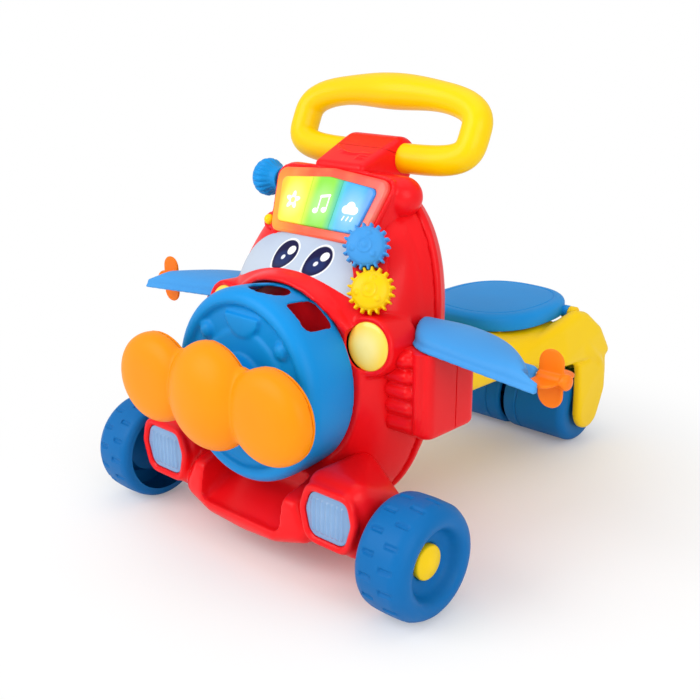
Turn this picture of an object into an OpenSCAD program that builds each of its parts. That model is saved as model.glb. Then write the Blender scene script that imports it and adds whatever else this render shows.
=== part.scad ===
// Ride-on airplane toy: a leaning egg-shaped fuselage with a drum nose, wings and a seat on a tail.
// Millimetres, +Z up, nose towards -Y, origin on the floor under the middle of the outline.
// Modules work from the front axle (y = 0 there) and place() shifts them to the origin.

/* [Overall] */
// Distance between the two axles
wheelbase = 452; // [430:1:480]
// Width over the outer faces of the front wheels
track_w = 440; // [420:1:460]
// Wall of the moulded shells
wall = 3; // [2:0.5:4]
// Gap between separate pieces that do not touch
gap = 0.4; // [0.3:0.1:0.8]
// Radial play of a part that turns on a pin
play = 0.06; // [0.02:0.01:0.1]

/* [Wheels] */
// Diameter of a front wheel
front_wheel_d = 112; // [104:1:120]
// Width of a front wheel
front_wheel_w = 55; // [48:1:60]
// Diameter of a rear roller
rear_wheel_d = 90; // [80:1:96]
// Width of a rear roller
rear_wheel_w = 87; // [75:1:90]
// Thickness of the web between the rear rollers
web_t = 5; // [4:0.5:8]
// Diameter of both steel axles
axle_d = 8; // [6:0.5:10]
// Diameter of a yellow hub cap
hub_cap_d = 34; // [28:1:38]
// Slots along each shoulder of a front tread
tread_slots = 16; // [10:1:20]

/* [Fuselage] */
// Width of the fuselage at its seam
body_w = 240; // [226:1:252]
// Height of the fuselage top
body_top = 368; // [355:1:380]
// Height of the fuselage bottom above the floor
body_bottom = 28; // [22:1:40]
// Height of the widest level of the fuselage
body_mid_z = 200; // [180:1:220]
// Seam between the front and rear shell, behind the front axle
seam_y = 108; // [98:1:118]
// Depth of the rear shell behind the seam
rear_depth = 48; // [40:1:60]
// Backward lean of the fuselage, run over rise
lean = 0.12; // [0.06:0.01:0.18]

/* [Nose] */
// Diameter of the nose drum at its rim
nose_d = 192; // [184:1:200]
// Height of the nose centre at its rim
nose_z = 176; // [170:1:182]
// Place of the nose rim behind the front axle
nose_y = 30; // [24:1:36]
// Depth of the nose drum
nose_depth = 63; // [58:1:68]
// How far the propeller hub stands ahead of the drum
hub_ahead = 21; // [18:1:26]
// Upward tilt of the nose axis, degrees
nose_tilt = 2; // [0:0.5:5]
// Diameter of each propeller lobe
lobe_d = 94; // [84:1:98]
// Distance from the propeller centre to a side lobe
lobe_reach = 80; // [70:1:86]
// How far the lobes bulge forward
lobe_rise = 26; // [18:1:32]
// Diameter of the propeller pin
prop_pin_d = 8; // [6:0.5:10]

/* [Lamps] */
// Diameter of a cheek lamp
cheek_d = 47; // [40:1:50]
// Distance of a cheek lamp from the middle
cheek_x = 99; // [96:1:104]
// Height of a cheek lamp
cheek_z = 223; // [218:1:226]
// Width of a headlamp lens
headlamp_w = 58; // [48:1:60]
// Height of a headlamp lens
headlamp_h = 46; // [42:1:52]
// Distance of a headlamp from the middle
headlamp_x = 118; // [112:1:122]
// Height of a headlamp centre
headlamp_z = 81; // [76:1:86]

/* [Light panel] */
// Width of the panel along its top edge
panel_top_w = 146; // [130:1:152]
// Width of the panel along its bottom edge
panel_bottom_w = 118; // [106:1:124]
// Height of the panel along its slope
panel_h = 61; // [52:1:66]
// Height of the panel's bottom edge
panel_z = 308; // [304:1:312]
// Place of the panel's bottom edge behind the front axle
panel_y = 75; // [70:1:80]
// Backward tilt of the panel, degrees
panel_tilt = 26; // [20:1:32]
// Width of the glowing rim round the keys
rim_w = 7; // [5:0.5:9]
// Travel of a key or button
key_travel = 2.5; // [1.5:0.5:3]

/* [Gears and knob] */
// Teeth on each gear
gear_teeth = 18; // [14:2:20]
// Distance between the two gear centres
gear_centres = 42; // [40:0.5:44]
// Thickness of a gear
gear_w = 11; // [9:0.5:13]
// Diameter of a gear pin
gear_pin_d = 6; // [5:0.5:8]
// Diameter of the side knob
knob_d = 40; // [34:1:44]
// Length of the side knob
knob_l = 36; // [30:1:42]

/* [Handle] */
// Width of the handle loop over its tube
handle_w = 256; // [236:1:270]
// Diameter of the handle tube
handle_d = 30; // [26:1:34]
// Height of the lower handle bar
handle_z = 379; // [376:1:384]
// Place of the lower handle bar behind the front axle
handle_y = 164; // [158:1:170]
// Distance between the two handle bars
handle_rise = 68; // [60:1:76]
// Backward lean of the handle loop, degrees
handle_lean = 24; // [15:1:32]
// Width of the neck that clamps the lower bar
neck_w = 74; // [66:1:82]

/* [Wings] */
// Distance from the middle to a wing tip
wing_reach = 270; // [260:1:280]
// Greatest depth of a wing
wing_chord = 69; // [62:1:76]
// Height of the wing's lower edge at the root
wing_z = 228; // [224:1:234]
// Downward slope of a wing, degrees
wing_droop = 5; // [2:0.5:7]
// Crown of the wing's upper face
wing_crown = 15; // [10:1:18]
// Place of the wing's front edge behind the front axle
wing_y = 62; // [57:1:67]
// Diameter of a wing-tip paddle wheel
paddle_d = 54; // [46:1:58]
// Width of a wing-tip paddle wheel
paddle_w = 25; // [20:1:28]
// Diameter of a paddle pin
paddle_pin_d = 6; // [5:0.5:7]

/* [Tail and seat] */
// Width of the tail beam under the seat
tail_w = 150; // [140:1:156]
// Width over the rear forks
fork_w = 208; // [204:1:220]
// Height of the tail's top face
tail_top = 165; // [160:1:170]
// Height of the tail beam
tail_h = 57; // [50:1:60]
// How far the tail reaches behind the rear axle
tail_reach = 56; // [50:1:64]
// Width of the seat lid
seat_w = 150; // [140:1:156]
// Length of the seat lid
seat_l = 175; // [165:1:180]
// Thickness of the seat lid
seat_t = 20; // [16:1:24]
// Distance from the rear axle forward to the seat's centre
seat_ahead = 64; // [60:1:70]
// Diameter of the lid's hinge pins
hinge_pin_d = 6; // [5:0.5:7]

/* [Hidden] */
$fn = 64;

red = "#d8131b";
blue = "#0d7cc9";
yellow = "#f8d80c";
orange = "#ff9a10";
pale_blue = "#a9c7ea";
steel = "#b8bcc0";

// Sides round a lofted shell, and points round one rounded corner
loft_sides = 40;
corner_steps = 5;

// Places measured from the front axle
front_r = front_wheel_d / 2;
rear_r = rear_wheel_d / 2;
axle_r = axle_d / 2;
tail_end_y = wheelbase + tail_reach;
back_y = seam_y + rear_depth;
lobe_r = lobe_d / 2;
lobe_back = 8;
hub_z = nose_depth + hub_ahead;
prop_z = hub_z + lobe_back + 2;
hub_lobe_grow = 7;
prop_front = prop_z + lobe_rise + hub_lobe_grow;
nose_reach = prop_front * cos(nose_tilt) - nose_y;
axle_shift = (nose_reach - tail_end_y) / 2;

module place() {
    translate([0, axle_shift, 0]) children();
}

// Lofts
function smooth(t) = t <= 0 ? 0 : t >= 1 ? 1 : t * t * (3 - 2 * t);
function ease(t) = 1 - (1 - t) * (1 - t);
function mix(a, b, t) = a + (b - a) * t;
function curve(c, power) = sign(c) * pow(abs(c), 2 / power);

// A leaning rounded ring in the XZ plane: s = [y, half width, widest z, top, bottom, power]
function ring_point(s, grow, slant, i) =
    let (
        a = 360 * i / loft_sides,
        c = curve(cos(a), s[5]),
        d = curve(sin(a), s[5]),
        z = s[2] + d * (grow + (d > 0 ? s[3] - s[2] : s[2] - s[4]))
    )
    [c * (s[1] + grow), s[0] + slant * (z - nose_z), z];
function ring(s, grow, slant) = [for (i = [0 : loft_sides - 1]) ring_point(s, grow, slant, i)];

// A strip's rings run out along its outside and back along its inside
module loft(rings, strip = false) {
    n = len(rings[0]);
    last = len(rings) - 1;
    end = last * n;
    sides = [
        for (j = [0 : last - 1], i = [0 : n - 1])
            let (k = (i + 1) % n, a = j * n + i, b = j * n + k)
            each [[a, b, b + n], [a, b + n, a + n]]
    ];
    caps = strip ? [
        for (i = [0 : n / 2 - 2])
            let (a = i, b = i + 1, c = n - 2 - i, d = n - 1 - i)
            each [[c, b, a], [d, c, a], [end + a, end + b, end + c], [end + a, end + c, end + d]]
    ] : [[for (i = [n - 1 : -1 : 0]) i], [for (i = [0 : n - 1]) end + i]];
    polyhedron([for (r = rings) each r], concat(sides, caps));
}

// Outlines with rounded corners
function unit(v) = v / norm(v);
function turn(v, a) = [v[0] * cos(a) - v[1] * sin(a), v[0] * sin(a) + v[1] * cos(a)];
function corner(before, at, after, r) =
    let (
        a = unit(before - at),
        b = unit(after - at),
        half = acos(a * b) / 2,
        middle = at + unit(a + b) * r / sin(half),
        start = at + a * r / tan(half) - middle,
        way = cross(a, b) > 0 ? -1 : 1
    )
    [for (i = [0 : corner_steps]) middle + turn(start, way * (180 - 2 * half) * i / corner_steps)];
function rounded(points, r) =
    let (n = len(points))
    [for (i = [0 : n - 1]) each corner(points[(i + n - 1) % n], points[i], points[(i + 1) % n], r)];

module along_x(length, d, centre = [0, 0, 0]) {
    translate(centre) rotate([0, 90, 0]) cylinder(d = d, h = length, center = true);
}

module both_sides() {
    children();
    mirror([1, 0, 0]) children();
}

// Fuselage
nose_r = nose_d / 2;
rim_r = nose_r - 4;
collar = 5;
// Hairline between pieces that sit on one another
seat = 0.02;
brow_h = 8;
function front_ring(t) = [
    mix(nose_y, seam_y, t),
    mix(rim_r + collar, body_w / 2, ease(t)),
    mix(nose_z, body_mid_z, ease(t)),
    mix(nose_z + nose_r + brow_h, body_top, smooth(t)),
    mix(nose_z - rim_r - collar, body_bottom, ease(t)),
    mix(2, 2.5, t)
];
rear_taper = 42;
function rear_ring(t) = [
    seam_y + rear_depth * t,
    body_w / 2 - rear_taper * pow(t, 2.5),
    body_mid_z,
    body_top - rear_taper * pow(t, 2.5),
    body_bottom + rear_taper * pow(t, 2.5),
    2.5
];
front_steps = [0, 0.12, 0.25, 0.38, 0.5, 0.62, 0.75, 0.88, 1];
rear_steps = [0, 0.35, 0.6, 0.8, 1];

function shifted(s, dy) = [s[0] + dy, s[1], s[2], s[3], s[4], s[5]];
// The front face stands square to the nose, the seam leans with the fuselage
function slant(t) = mix(tan(nose_tilt), lean, smooth(1.6 * t));
seam_lip = 2.5;
lip_w = 7;
function lip_rings(grow) = [
    ring(rear_ring(0), seam_lip + grow, lean),
    ring(shifted(rear_ring(0), lip_w), seam_lip + grow, lean),
    ring(shifted(rear_ring(0), lip_w + 1), grow, lean)
];
function rear_rings(grow) = concat(
    [ring(shifted(rear_ring(0), lip_w + 1), grow, lean)],
    [for (i = [1 : len(rear_steps) - 1]) ring(rear_ring(rear_steps[i]), grow, lean)]
);

module body_solid(grow = seat) {
    loft(concat(
        [for (t = front_steps) ring(front_ring(t), grow, slant(t))],
        rear_rings(grow)
    ));
    loft(lip_rings(grow));
}

// Hollow of the front shell: closed behind the nose, open at the seam
module front_hollow() {
    last = len(front_steps) - 1;
    loft(concat(
        [
            for (i = [0 : last - 1])
                let (t = front_steps[i])
                ring(shifted(front_ring(t), wall), -wall, slant(t))
        ],
        [ring(shifted(front_ring(1), 2 * wall), -wall, lean)]
    ));
}

cheek_yaw = 4;
cheek_pitch = 5;
cheek_rim = 4.5;
cheek_front = 14;
cheek_y = nose_y + 20;
cheek_depth = 28;
module at_cheek() {
    translate([cheek_x, cheek_y, cheek_z]) rotate([90 - cheek_pitch, 0, cheek_yaw]) children();
}

module cheeks(grow = 0) {
    both_sides() at_cheek() translate([0, 0, -cheek_depth])
        cylinder(d = cheek_d + 2 * cheek_rim + 2 * grow, h = cheek_depth + cheek_front);
}

// Ridge that hangs over the top of the nose and runs out at its sides
brow_reach = 10;
brow_spread = 50;
module brow() {
    low = nose_r + 2 * gap;
    high = nose_r + brow_h - 1.5;
    at_nose() intersection() {
        rotate([0, 0, 90 - brow_spread]) rotate_extrude(angle = 2 * brow_spread)
            polygon([[low, -2 * wall], [high, -2 * wall], [high - 1, brow_reach - 4],
                [high - 3, brow_reach], [low, brow_reach]]);
        rotate([0, 90, 0]) translate([0, 0, -nose_d]) linear_extrude(2 * nose_d)
            polygon([[3 * wall, nose_r * 0.4], [-brow_reach - 1, nose_r * 0.95],
                [-brow_reach - 1, 2 * nose_r], [3 * wall, 2 * nose_r]]);
    }
}

module front_shell() {
    color(red) place() difference() {
        union() {
            loft([for (t = front_steps) ring(front_ring(t), 0, slant(t))]);
            cheeks();
            brow();
        }
        front_hollow();
        both_sides() at_cheek()
            translate([0, 0, -2 * cheek_depth]) cylinder(d = cheek_d, h = 3 * cheek_depth);
        at_nose() translate([0, 0, -4 * wall]) cylinder(d = prop_pin_d + 2, h = 8 * wall);
        panel_pocket();
        button_bore();
        knob_pin_room();
    }
}

battery_w = 74;
battery_h = 66;
battery_d = 24;
battery_z = 250;
door_grow = 5;
module at_battery() {
    translate([0, back_y + lean * (battery_z - nose_z), battery_z]) rotate([-90 - atan(lean), 0, 0])
        rotate([0, 0, 180]) children();
}

module rear_shell() {
    hollow_rings = concat(
        [ring(shifted(rear_ring(0), -1), -wall, lean)],
        [for (i = [1 : len(rear_steps) - 1]) ring(shifted(rear_ring(rear_steps[i]), -wall), -wall, lean)]
    );
    color(red) place() difference() {
        loft(concat([lip_rings(0)[0], lip_rings(0)[1]], rear_rings(0)));
        loft(hollow_rings);
        at_battery() translate([0, 0, -wall])
            cube([battery_w + 2 * wall, battery_h + 2 * wall, 4 * wall], center = true);
        screw_places() translate([0, 0, -wall]) cylinder(d = screw_d, h = 4 * wall);
    }
}

// Battery box set into the back
cell_d = 14.5;
cell_l = 50.5;
cell_count = 3;
module battery_box() {
    color("#b01018") place() at_battery() difference() {
        translate([0, 0, -battery_d / 2])
            cube([battery_w + 2 * wall, battery_h + 2 * wall, battery_d], center = true);
        translate([0, 0, -battery_d / 2 + wall]) cube([battery_w, battery_h, battery_d], center = true);
    }
}

module battery_cells() {
    cell_pitch = (battery_h - cell_d) / (cell_count - 1) - 1;
    color("#3c4650") place() at_battery()
        for (i = [0 : cell_count - 1])
            along_x(cell_l, cell_d,
                [0, (i - (cell_count - 1) / 2) * cell_pitch, wall + seat - battery_d + cell_d / 2]);
}

door_t = 3;
module battery_door() {
    door_w = battery_w + 2 * wall + 2 * door_grow;
    door_h = battery_h + 2 * wall + 2 * door_grow;
    color(red) place() at_battery() difference() {
        linear_extrude(door_t)
            polygon(rounded([[-door_w, -door_h] / 2, [door_w, -door_h] / 2, [door_w, door_h] / 2,
                [-door_w, door_h] / 2], door_grow));
        for (i = [-2 : 2]) translate([0, i * 8 - 10, door_t]) cube([door_w / 2, 2.5, 2], center = true);
        translate([0, door_h / 2 - 8, -1]) cylinder(d = 4, h = 3 * door_t);
    }
}

// Screws that hold the rear shell, seen in its back
screw_d = 7;
screw_l = 22;
screw_x = (body_w / 2 - rear_taper) * 0.58;
screw_heights = [body_bottom + 92, body_top - 64];
module screw_places() {
    for (s = [-1, 1], z = screw_heights)
        translate([s * screw_x, back_y + lean * (z - nose_z), z]) rotate([-90 - atan(lean), 0, 0])
            translate([0, 0, -wall]) children();
}

module shell_screws() {
    color(steel) place() screw_places() difference() {
        union() {
            cylinder(d = screw_d, h = wall);
            translate([0, 0, -screw_l]) cylinder(d = screw_d / 2, h = screw_l + 1);
        }
        translate([0, 0, wall - 1]) {
            cube([4, 1, 3], center = true);
            cube([1, 4, 3], center = true);
        }
    }
}

// Lower bumper: two headlamp pods, the axle arms and the tray under the nose
pod_front_y = -34;
lens_round = 12;
pod_round = 16;
tray_w = 114;
tray_floor = 46;
module headlamp_outline(grow) {
    w = headlamp_w / 2 + grow;
    h = headlamp_h / 2 + grow;
    polygon(rounded([[-w * 0.78, -h], [w * 0.72, -h], [w, h * 0.1], [w * 0.82, h], [-w * 0.74, h],
        [-w, h * 0.1]], lens_round));
}

module at_headlamp() {
    translate([headlamp_x, pod_front_y, headlamp_z]) rotate([90, 0, 0]) children();
}

module pod(shrink, back) {
    r = pod_round - shrink;
    arm_end = track_w / 2 - front_wheel_w - 2 - shrink;
    hull($fn = 32) {
        for (dx = [-1, 1], dz = [-1, 1])
            translate([headlamp_x + dx * (headlamp_w / 2 - 8 + dz * -2), pod_front_y + pod_round,
                headlamp_z + dz * (headlamp_h / 2 - 1)])
                sphere(r, $fn = 24);
        for (p = [[86, 26, 46], [146, 22, 46], [92, 40, 98], [140, 20, 84]])
            translate([p[0], p[1] + back, p[2]]) sphere(r, $fn = 24);
        translate([arm_end - 20, back / 3, front_r]) rotate([0, 90, 0]) cylinder(r = r + 2, h = 20);
    }
}

module tray_block() {
    hull($fn = 32) {
        for (s = [-1, 1]) {
            translate([s * 76, -24, 52]) sphere(14, $fn = 24);
            translate([s * 44, -28, 44]) sphere(14, $fn = 24);
            translate([s * 68, -26, 74]) sphere(10, $fn = 24);
            translate([s * 76, 30, 48]) sphere(14, $fn = 24);
            translate([s * 76, 30, 84]) sphere(14, $fn = 24);
        }
        translate([0, -26, 40]) sphere(14, $fn = 24);
        translate([0, 20, 42]) sphere(14, $fn = 24);
    }
}

module front_bumper() {
    axle_top = front_r + axle_r + wall;
    color(red) place() difference() {
        union() {
            both_sides() pod(0, 0);
            tray_block();
        }
        body_solid();
        nose_solid(gap);
        both_sides() pod(wall, 40);
        // Tray: the floor slopes down to the mouth, over the axle
        rotate([90, 0, 90]) translate([0, 0, -tray_w / 2]) linear_extrude(tray_w)
            polygon([[-70, tray_floor], [-36, tray_floor], [8, axle_top + wall + 4], [8, 130], [-70, 130]]);
        // Hollow under the floor
        rotate([90, 0, 90]) translate([0, 0, -tray_w / 2 - 12]) linear_extrude(tray_w + 24)
            polygon([[-26, 0], [-26, tray_floor - wall - 4], [4, axle_top - 1], [60, axle_top - 1], [60, 0]]);
        both_sides() at_headlamp() translate([0, 0, -4]) linear_extrude(10) headlamp_outline(seat);
        along_x(track_w, axle_d, [0, 0, front_r]);
    }
}

// Headlamp lenses with upright ribs
rib_count = 7;
module headlamp() {
    at_headlamp() {
        translate([0, 0, -4]) linear_extrude(4.6) headlamp_outline(0);
        for (i = [0 : rib_count - 1]) {
            x = (i - (rib_count - 1) / 2) * headlamp_w / (rib_count + 3);
            translate([x, -2, 0.6]) cube([2.4, headlamp_h * 0.62, 2.4], center = true);
        }
    }
}

module headlamp_right() {
    color(pale_blue) place() headlamp();
}

module headlamp_left() {
    color(pale_blue) place() mirror([1, 0, 0]) headlamp();
}

// Cheek lamps: domed lenses in the shell's round rims
module cheek_lamp() {
    lens_r = cheek_d / 2 - seat;
    at_cheek() rotate_extrude() polygon(concat(
        [[0, cheek_front - 12], [lens_r, cheek_front - 12], [lens_r, cheek_front - 4]],
        [for (i = [0 : 8]) [lens_r * cos(i * 90 / 8), cheek_front - 4 + 7 * sin(i * 90 / 8)]]
    ));
}

module cheek_lamp_right() {
    color(yellow) place() cheek_lamp();
}

module cheek_lamp_left() {
    color(yellow) place() mirror([1, 0, 0]) cheek_lamp();
}

// Windscreen: a thin pale strip laid over the slope between nose and panel
screen_t = 1;
screen_lift = 0.3;
screen_side = 5;
screen_far = loft_sides / 2 - screen_side;
// The lower edge arches over the nose, the rest follows the shell's own rings
function screen_arch(i) = 0.6 * sin(180 * (i - screen_side) / (screen_far - screen_side));
function shell_point(step, grow, i) =
    let (t = front_steps[step])
    ring_point(front_ring(t), grow, slant(t), i);
function screen_point(row, grow, i) = row > 1 ? shell_point(row, grow, i) :
    mix(shell_point(1, grow, i), shell_point(2, grow, i), screen_arch(i));
module windscreen() {
    color(pale_blue) place() loft([
        for (row = [1 : 3]) concat(
            [for (i = [screen_side : screen_far]) screen_point(row, screen_t, i)],
            [for (i = [screen_far : -1 : screen_side]) screen_point(row, screen_lift, i)]
        )
    ], true);
}

// Nose drum, in its own frame: x right, y up, z forward
module at_nose() {
    translate([0, nose_y, nose_z]) rotate([90 - nose_tilt, 0, 0]) children();
}

ring_w = 11;
face_r = nose_r - ring_w;
drum_flat = nose_depth - 15;
// The face lies inside a raised ring
face_drop = 6;
face_z = nose_depth - face_drop;
// Drum outline from its rim: a slight barrel, then an elliptic shoulder up to the ring
function nose_curve(inset) = concat(
    [for (i = [1 : 4]) [rim_r + (nose_r - rim_r) * sin(i * 22.5) - inset, drum_flat * i / 4]],
    [
        for (i = [1 : 10])
            let (a = i * 9)
            [face_r + (nose_r - face_r) * cos(a) - inset * cos(a),
                drum_flat + (nose_depth - drum_flat) * sin(a) - inset * sin(a)]
    ]
);

module nose_solid(grow) {
    at_nose() rotate_extrude()
        polygon(concat([[0, 0], [rim_r + grow, 0]], nose_curve(-grow), [[0, nose_depth + grow]]));
}

module sorter_hole(angle, at) {
    rotate([0, 0, angle]) translate([0, nose_r / 2, at]) rotate([-90, 0, 0])
        linear_extrude(nose_r) children();
}

hub_r = 31;
rivet_r = 6.5;
rivet_at = [52, 46];
drop_at = nose_depth / 2;
// Half-moon raised on the face, above the propeller
moon_w = 44;
moon_h = 14;
moon_at = 51;
module nose_cone() {
    under = face_z - wall;
    bore = prop_pin_d / 2;
    hub_under = hub_z - wall;
    inside = [for (p = nose_curve(wall)) if (p[1] < under - 1) p];
    roll = [for (a = [15 : 15 : 90]) [face_r - face_drop * sin(a), face_z + face_drop * cos(a)]];
    profile = concat(
        [[rim_r - wall, 0], [rim_r, 0]],
        nose_curve(0),
        roll,
        [[hub_r, face_z], [hub_r, hub_z], [bore, hub_z], [bore, 0], [prop_pin_d, 0],
            [prop_pin_d, hub_under], [hub_r - wall, hub_under], [hub_r - wall, under], [face_r, under]],
        [for (i = [len(inside) - 1 : -1 : 0]) inside[i]]
    );
    color(blue) place() at_nose() difference() {
        union() {
            rotate_extrude() polygon(profile);
            for (s = [-1, 1]) translate([s * rivet_at[0], rivet_at[1], face_z - 1])
                cylinder(r = rivet_r, h = 4);
            translate([0, moon_at, face_z - 1]) linear_extrude(3.5)
                polygon([for (a = [180 : 15 : 360]) [moon_w / 2 * cos(a), moon_h + moon_h * sin(a)]]);
        }
        sorter_hole(-5, 31) circle(d = 40);
        sorter_hole(-36, 24) polygon(rounded([[-18, -19], [18, -19], [18, 19], [-18, 19]], 7));
        sorter_hole(36, 26) polygon(rounded([[-24, -16], [24, -16], [0, 21]], 4));
        // Drop opening over the tray
        sorter_hole(180, drop_at) polygon(rounded([[-36, -16], [36, -16], [36, 16], [-36, 16]], 5));
    }
}

// Propeller: three round lobes in a row, a front shell over a back cover
waist = 0.64;
waist_rise = 16;
module lobe(r, rise) {
    rotate_extrude() polygon(concat([[0, 0]], [for (i = [0 : 10]) [r * cos(i * 9), rise * sin(i * 9)]]));
}

module lobes(shrink) {
    lobe(lobe_r + hub_lobe_grow - shrink, lobe_rise + hub_lobe_grow - shrink);
    for (s = [-1, 1]) {
        translate([s * lobe_reach, 0, 0]) lobe(lobe_r - shrink, lobe_rise - shrink);
        translate([s * lobe_reach / 2, 0, 0]) lobe(lobe_r * waist - shrink, waist_rise - shrink);
    }
}

module main_propeller() {
    color(orange) place() at_nose() translate([0, 0, prop_z]) difference() {
        lobes(0);
        translate([0, 0, -0.01]) lobes(wall);
    }
}

module propeller_back() {
    color(orange) place() at_nose() difference() {
        union() {
            translate([0, 0, prop_z]) mirror([0, 0, 1]) {
                lobe(lobe_r + hub_lobe_grow, lobe_back);
                for (s = [-1, 1]) {
                    translate([s * lobe_reach, 0, 0]) lobe(lobe_r, lobe_back);
                    translate([s * lobe_reach / 2, 0, 0]) lobe(lobe_r * waist, lobe_back - 1);
                }
            }
            translate([0, 0, hub_z + gap]) cylinder(r = prop_pin_d * 1.6, h = prop_z - hub_z + 4);
        }
        cylinder(d = prop_pin_d + 2 * play, h = 2 * prop_z);
    }
}

module propeller_pin() {
    head_z = prop_z + 4 + 2 * gap;
    color(steel) place() at_nose() {
        translate([0, 0, -2]) cylinder(d = prop_pin_d, h = head_z + 2);
        translate([0, 0, head_z]) cylinder(d = prop_pin_d * 1.8, h = 3);
    }
}

// Light panel, in its own frame: x right, y up the slope, z out of the face
module at_panel() {
    translate([0, panel_y, panel_z]) rotate([90 - panel_tilt, 0, 0]) children();
}

function panel_half(v) = mix(panel_bottom_w, panel_top_w, v / panel_h) / 2;
panel_bow = 6;
function panel_outline(inset, r) = rounded([
    [-panel_half(inset) + inset, inset],
    [panel_half(inset) - inset, inset],
    [panel_half(panel_h - inset) - inset, panel_h - inset],
    [0, panel_h + panel_bow - inset],
    [-panel_half(panel_h - inset) + inset, panel_h - inset]
], r);

rim_t = 6;
key_t = 9;
pocket_d = 26;
ear_r = 20;
ear_x = 72;
ear_y = 119;
ear_z = 350;
button_d = 11;
button_l = 9;
button_x = -71;
button_v = 8;

module hood_solid() {
    hull($fn = 32) {
        at_panel() translate([0, 0, -3]) linear_extrude(3) polygon(panel_outline(-6, 10));
        at_panel() translate([button_x, button_v, -6]) cylinder(d = button_d + 9, h = 6);
        both_sides() translate([ear_x, ear_y, ear_z]) sphere(ear_r, $fn = 28);
        both_sides() translate([66, 108, 300]) sphere(12, $fn = 20);
    }
}

module button_bore() {
    at_panel() translate([button_x, button_v, -button_l - key_travel - 2 * gap])
        cylinder(d = button_d + 2 * gap, h = 3 * button_l);
}

module panel_pocket() {
    at_panel() translate([0, 0, -pocket_d]) linear_extrude(2 * pocket_d) polygon(panel_outline(2, 8));
}

module panel_hood() {
    color(red) place() difference() {
        hood_solid();
        body_solid();
        panel_pocket();
        button_bore();
        along_x(60, knob_pin_d + 2 * play, [-ear_x - 20, ear_y, ear_z]);
    }
}

module panel_rim() {
    color("#f0501e") place() at_panel() difference() {
        linear_extrude(rim_t) polygon(panel_outline(2 + seat, 8));
        translate([0, 0, -1]) linear_extrude(2 * rim_t) polygon(panel_outline(rim_w, 6));
        translate([0, 0, -1]) linear_extrude(3) polygon(panel_outline(rim_w - 3, 6));
    }
}

// One of three keys that share the window of the rim
module key_plate(i) {
    inset = rim_w + gap;
    low = (panel_half(inset) - inset) * 2;
    high = (panel_half(panel_h - inset) - inset) * 2;
    split = gap / 2;
    intersection() {
        union() {
            translate([0, 0, -0.5]) linear_extrude(key_t) polygon(panel_outline(inset, 6));
            translate([0, 0, -0.5]) linear_extrude(2) polygon(panel_outline(rim_w - 3 + gap, 6));
        }
        linear_extrude(4 * key_t, center = true) polygon([
            [-low / 2 + low * i / 3 + split - (i == 0 ? rim_w : 0), inset - rim_w],
            [-low / 2 + low * (i + 1) / 3 - split + (i == 2 ? rim_w : 0), inset - rim_w],
            [-high / 2 + high * (i + 1) / 3 - split + (i == 2 ? rim_w : 0), panel_h + panel_bow],
            [-high / 2 + high * i / 3 + split - (i == 0 ? rim_w : 0), panel_h + panel_bow]
        ]);
    }
}

module key_yellow() {
    color("#ffe020") place() at_panel() key_plate(0);
}

module key_green() {
    color("#7fd62c") place() at_panel() key_plate(1);
}

module key_blue() {
    color("#35b4f0") place() at_panel() key_plate(2);
}

// Rubber pad, board and lamps behind the keys
pad_z = -0.5 - key_travel - gap;
pad_t = 3;
board_t = 2;
lamp_d = 6;
module key_pad() {
    color("#d9d4c8") place() at_panel() difference() {
        translate([0, 0, pad_z - pad_t]) linear_extrude(pad_t) polygon(panel_outline(2 + seat, 8));
        for (i = [-1 : 1]) translate([i * panel_half(0) * 0.62, panel_h / 2, pad_z - 2 * pad_t])
            cylinder(d = lamp_d + gap, h = 4 * pad_t);
    }
}

module circuit_board() {
    color("#2f7d4a") place() at_panel() translate([0, 0, pad_z - pad_t - board_t]) linear_extrude(board_t)
        polygon(panel_outline(4, 6));
}

module panel_lamps() {
    color("#fff3d0") place() at_panel() for (i = [-1 : 1])
        translate([i * panel_half(0) * 0.62, panel_h / 2, pad_z - pad_t])
            cylinder(d = lamp_d, h = pad_t - gap);
}

speaker_d = 50;
speaker_h = 16;
speaker_z = 165;
module speaker() {
    color("#3a3a3e") place() translate([0, back_y - wall + lean * (speaker_z - nose_z), speaker_z])
        rotate([90 - atan(lean), 0, 0]) {
            cylinder(d = speaker_d * 0.6, h = speaker_h);
            translate([0, 0, speaker_h]) cylinder(d1 = speaker_d * 0.6, d2 = speaker_d, h = speaker_h / 2);
        }
}

module side_button() {
    color(yellow) place() at_panel() translate([button_x, button_v, 0]) {
        translate([0, 0, -button_l]) cylinder(d = button_d, h = button_l + 1);
        translate([0, 0, 1]) intersection() {
            sphere(d = button_d);
            cylinder(d = 2 * button_d, h = button_d);
        }
    }
}

// Meshed gears beside the panel, in a frame with z out of their faces
gear_yaw = 28;
gear_pitch = 24;
gear_mid = [83.8, 59.6, 290.7];
gear_line = -78;
module at_gears() {
    translate(gear_mid) rotate([90 - gear_pitch, 0, gear_yaw]) children();
}

module at_gear(which) {
    at_gears() rotate([0, 0, gear_line]) translate([which * gear_centres / 2, 0, 0]) children();
}

tooth_depth = 4;
root_r = gear_centres / 2 - tooth_depth / 2 - gap;
tip_r = gear_centres / 2 + tooth_depth / 2 - gap;
tooth_w = PI * gear_centres / gear_teeth * 0.44;
deck_t = 4;
hub_gap = 0.4;

tooth_end = tip_r - tooth_w / 2;
tooth_arc = [for (a = [-90 : 30 : 90]) [tooth_end + tooth_w / 2 * cos(a), tooth_w / 2 * sin(a)]];
tooth = concat([[root_r, -tooth_w / 2]], tooth_arc, [[root_r, tooth_w / 2]]);
gear_step = 360 / gear_teeth;
dome_h = 5;
dome_r = root_r - 1;
dome_sink = 2;
dome = [for (a = [0 : 15 : 90]) [dome_r * cos(a), dome_h * sin(a)]];
function gear_outline(turned) =
    [for (i = [0 : gear_teeth - 1]) for (p = tooth) turn(p, (i + turned) * gear_step)];

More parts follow.
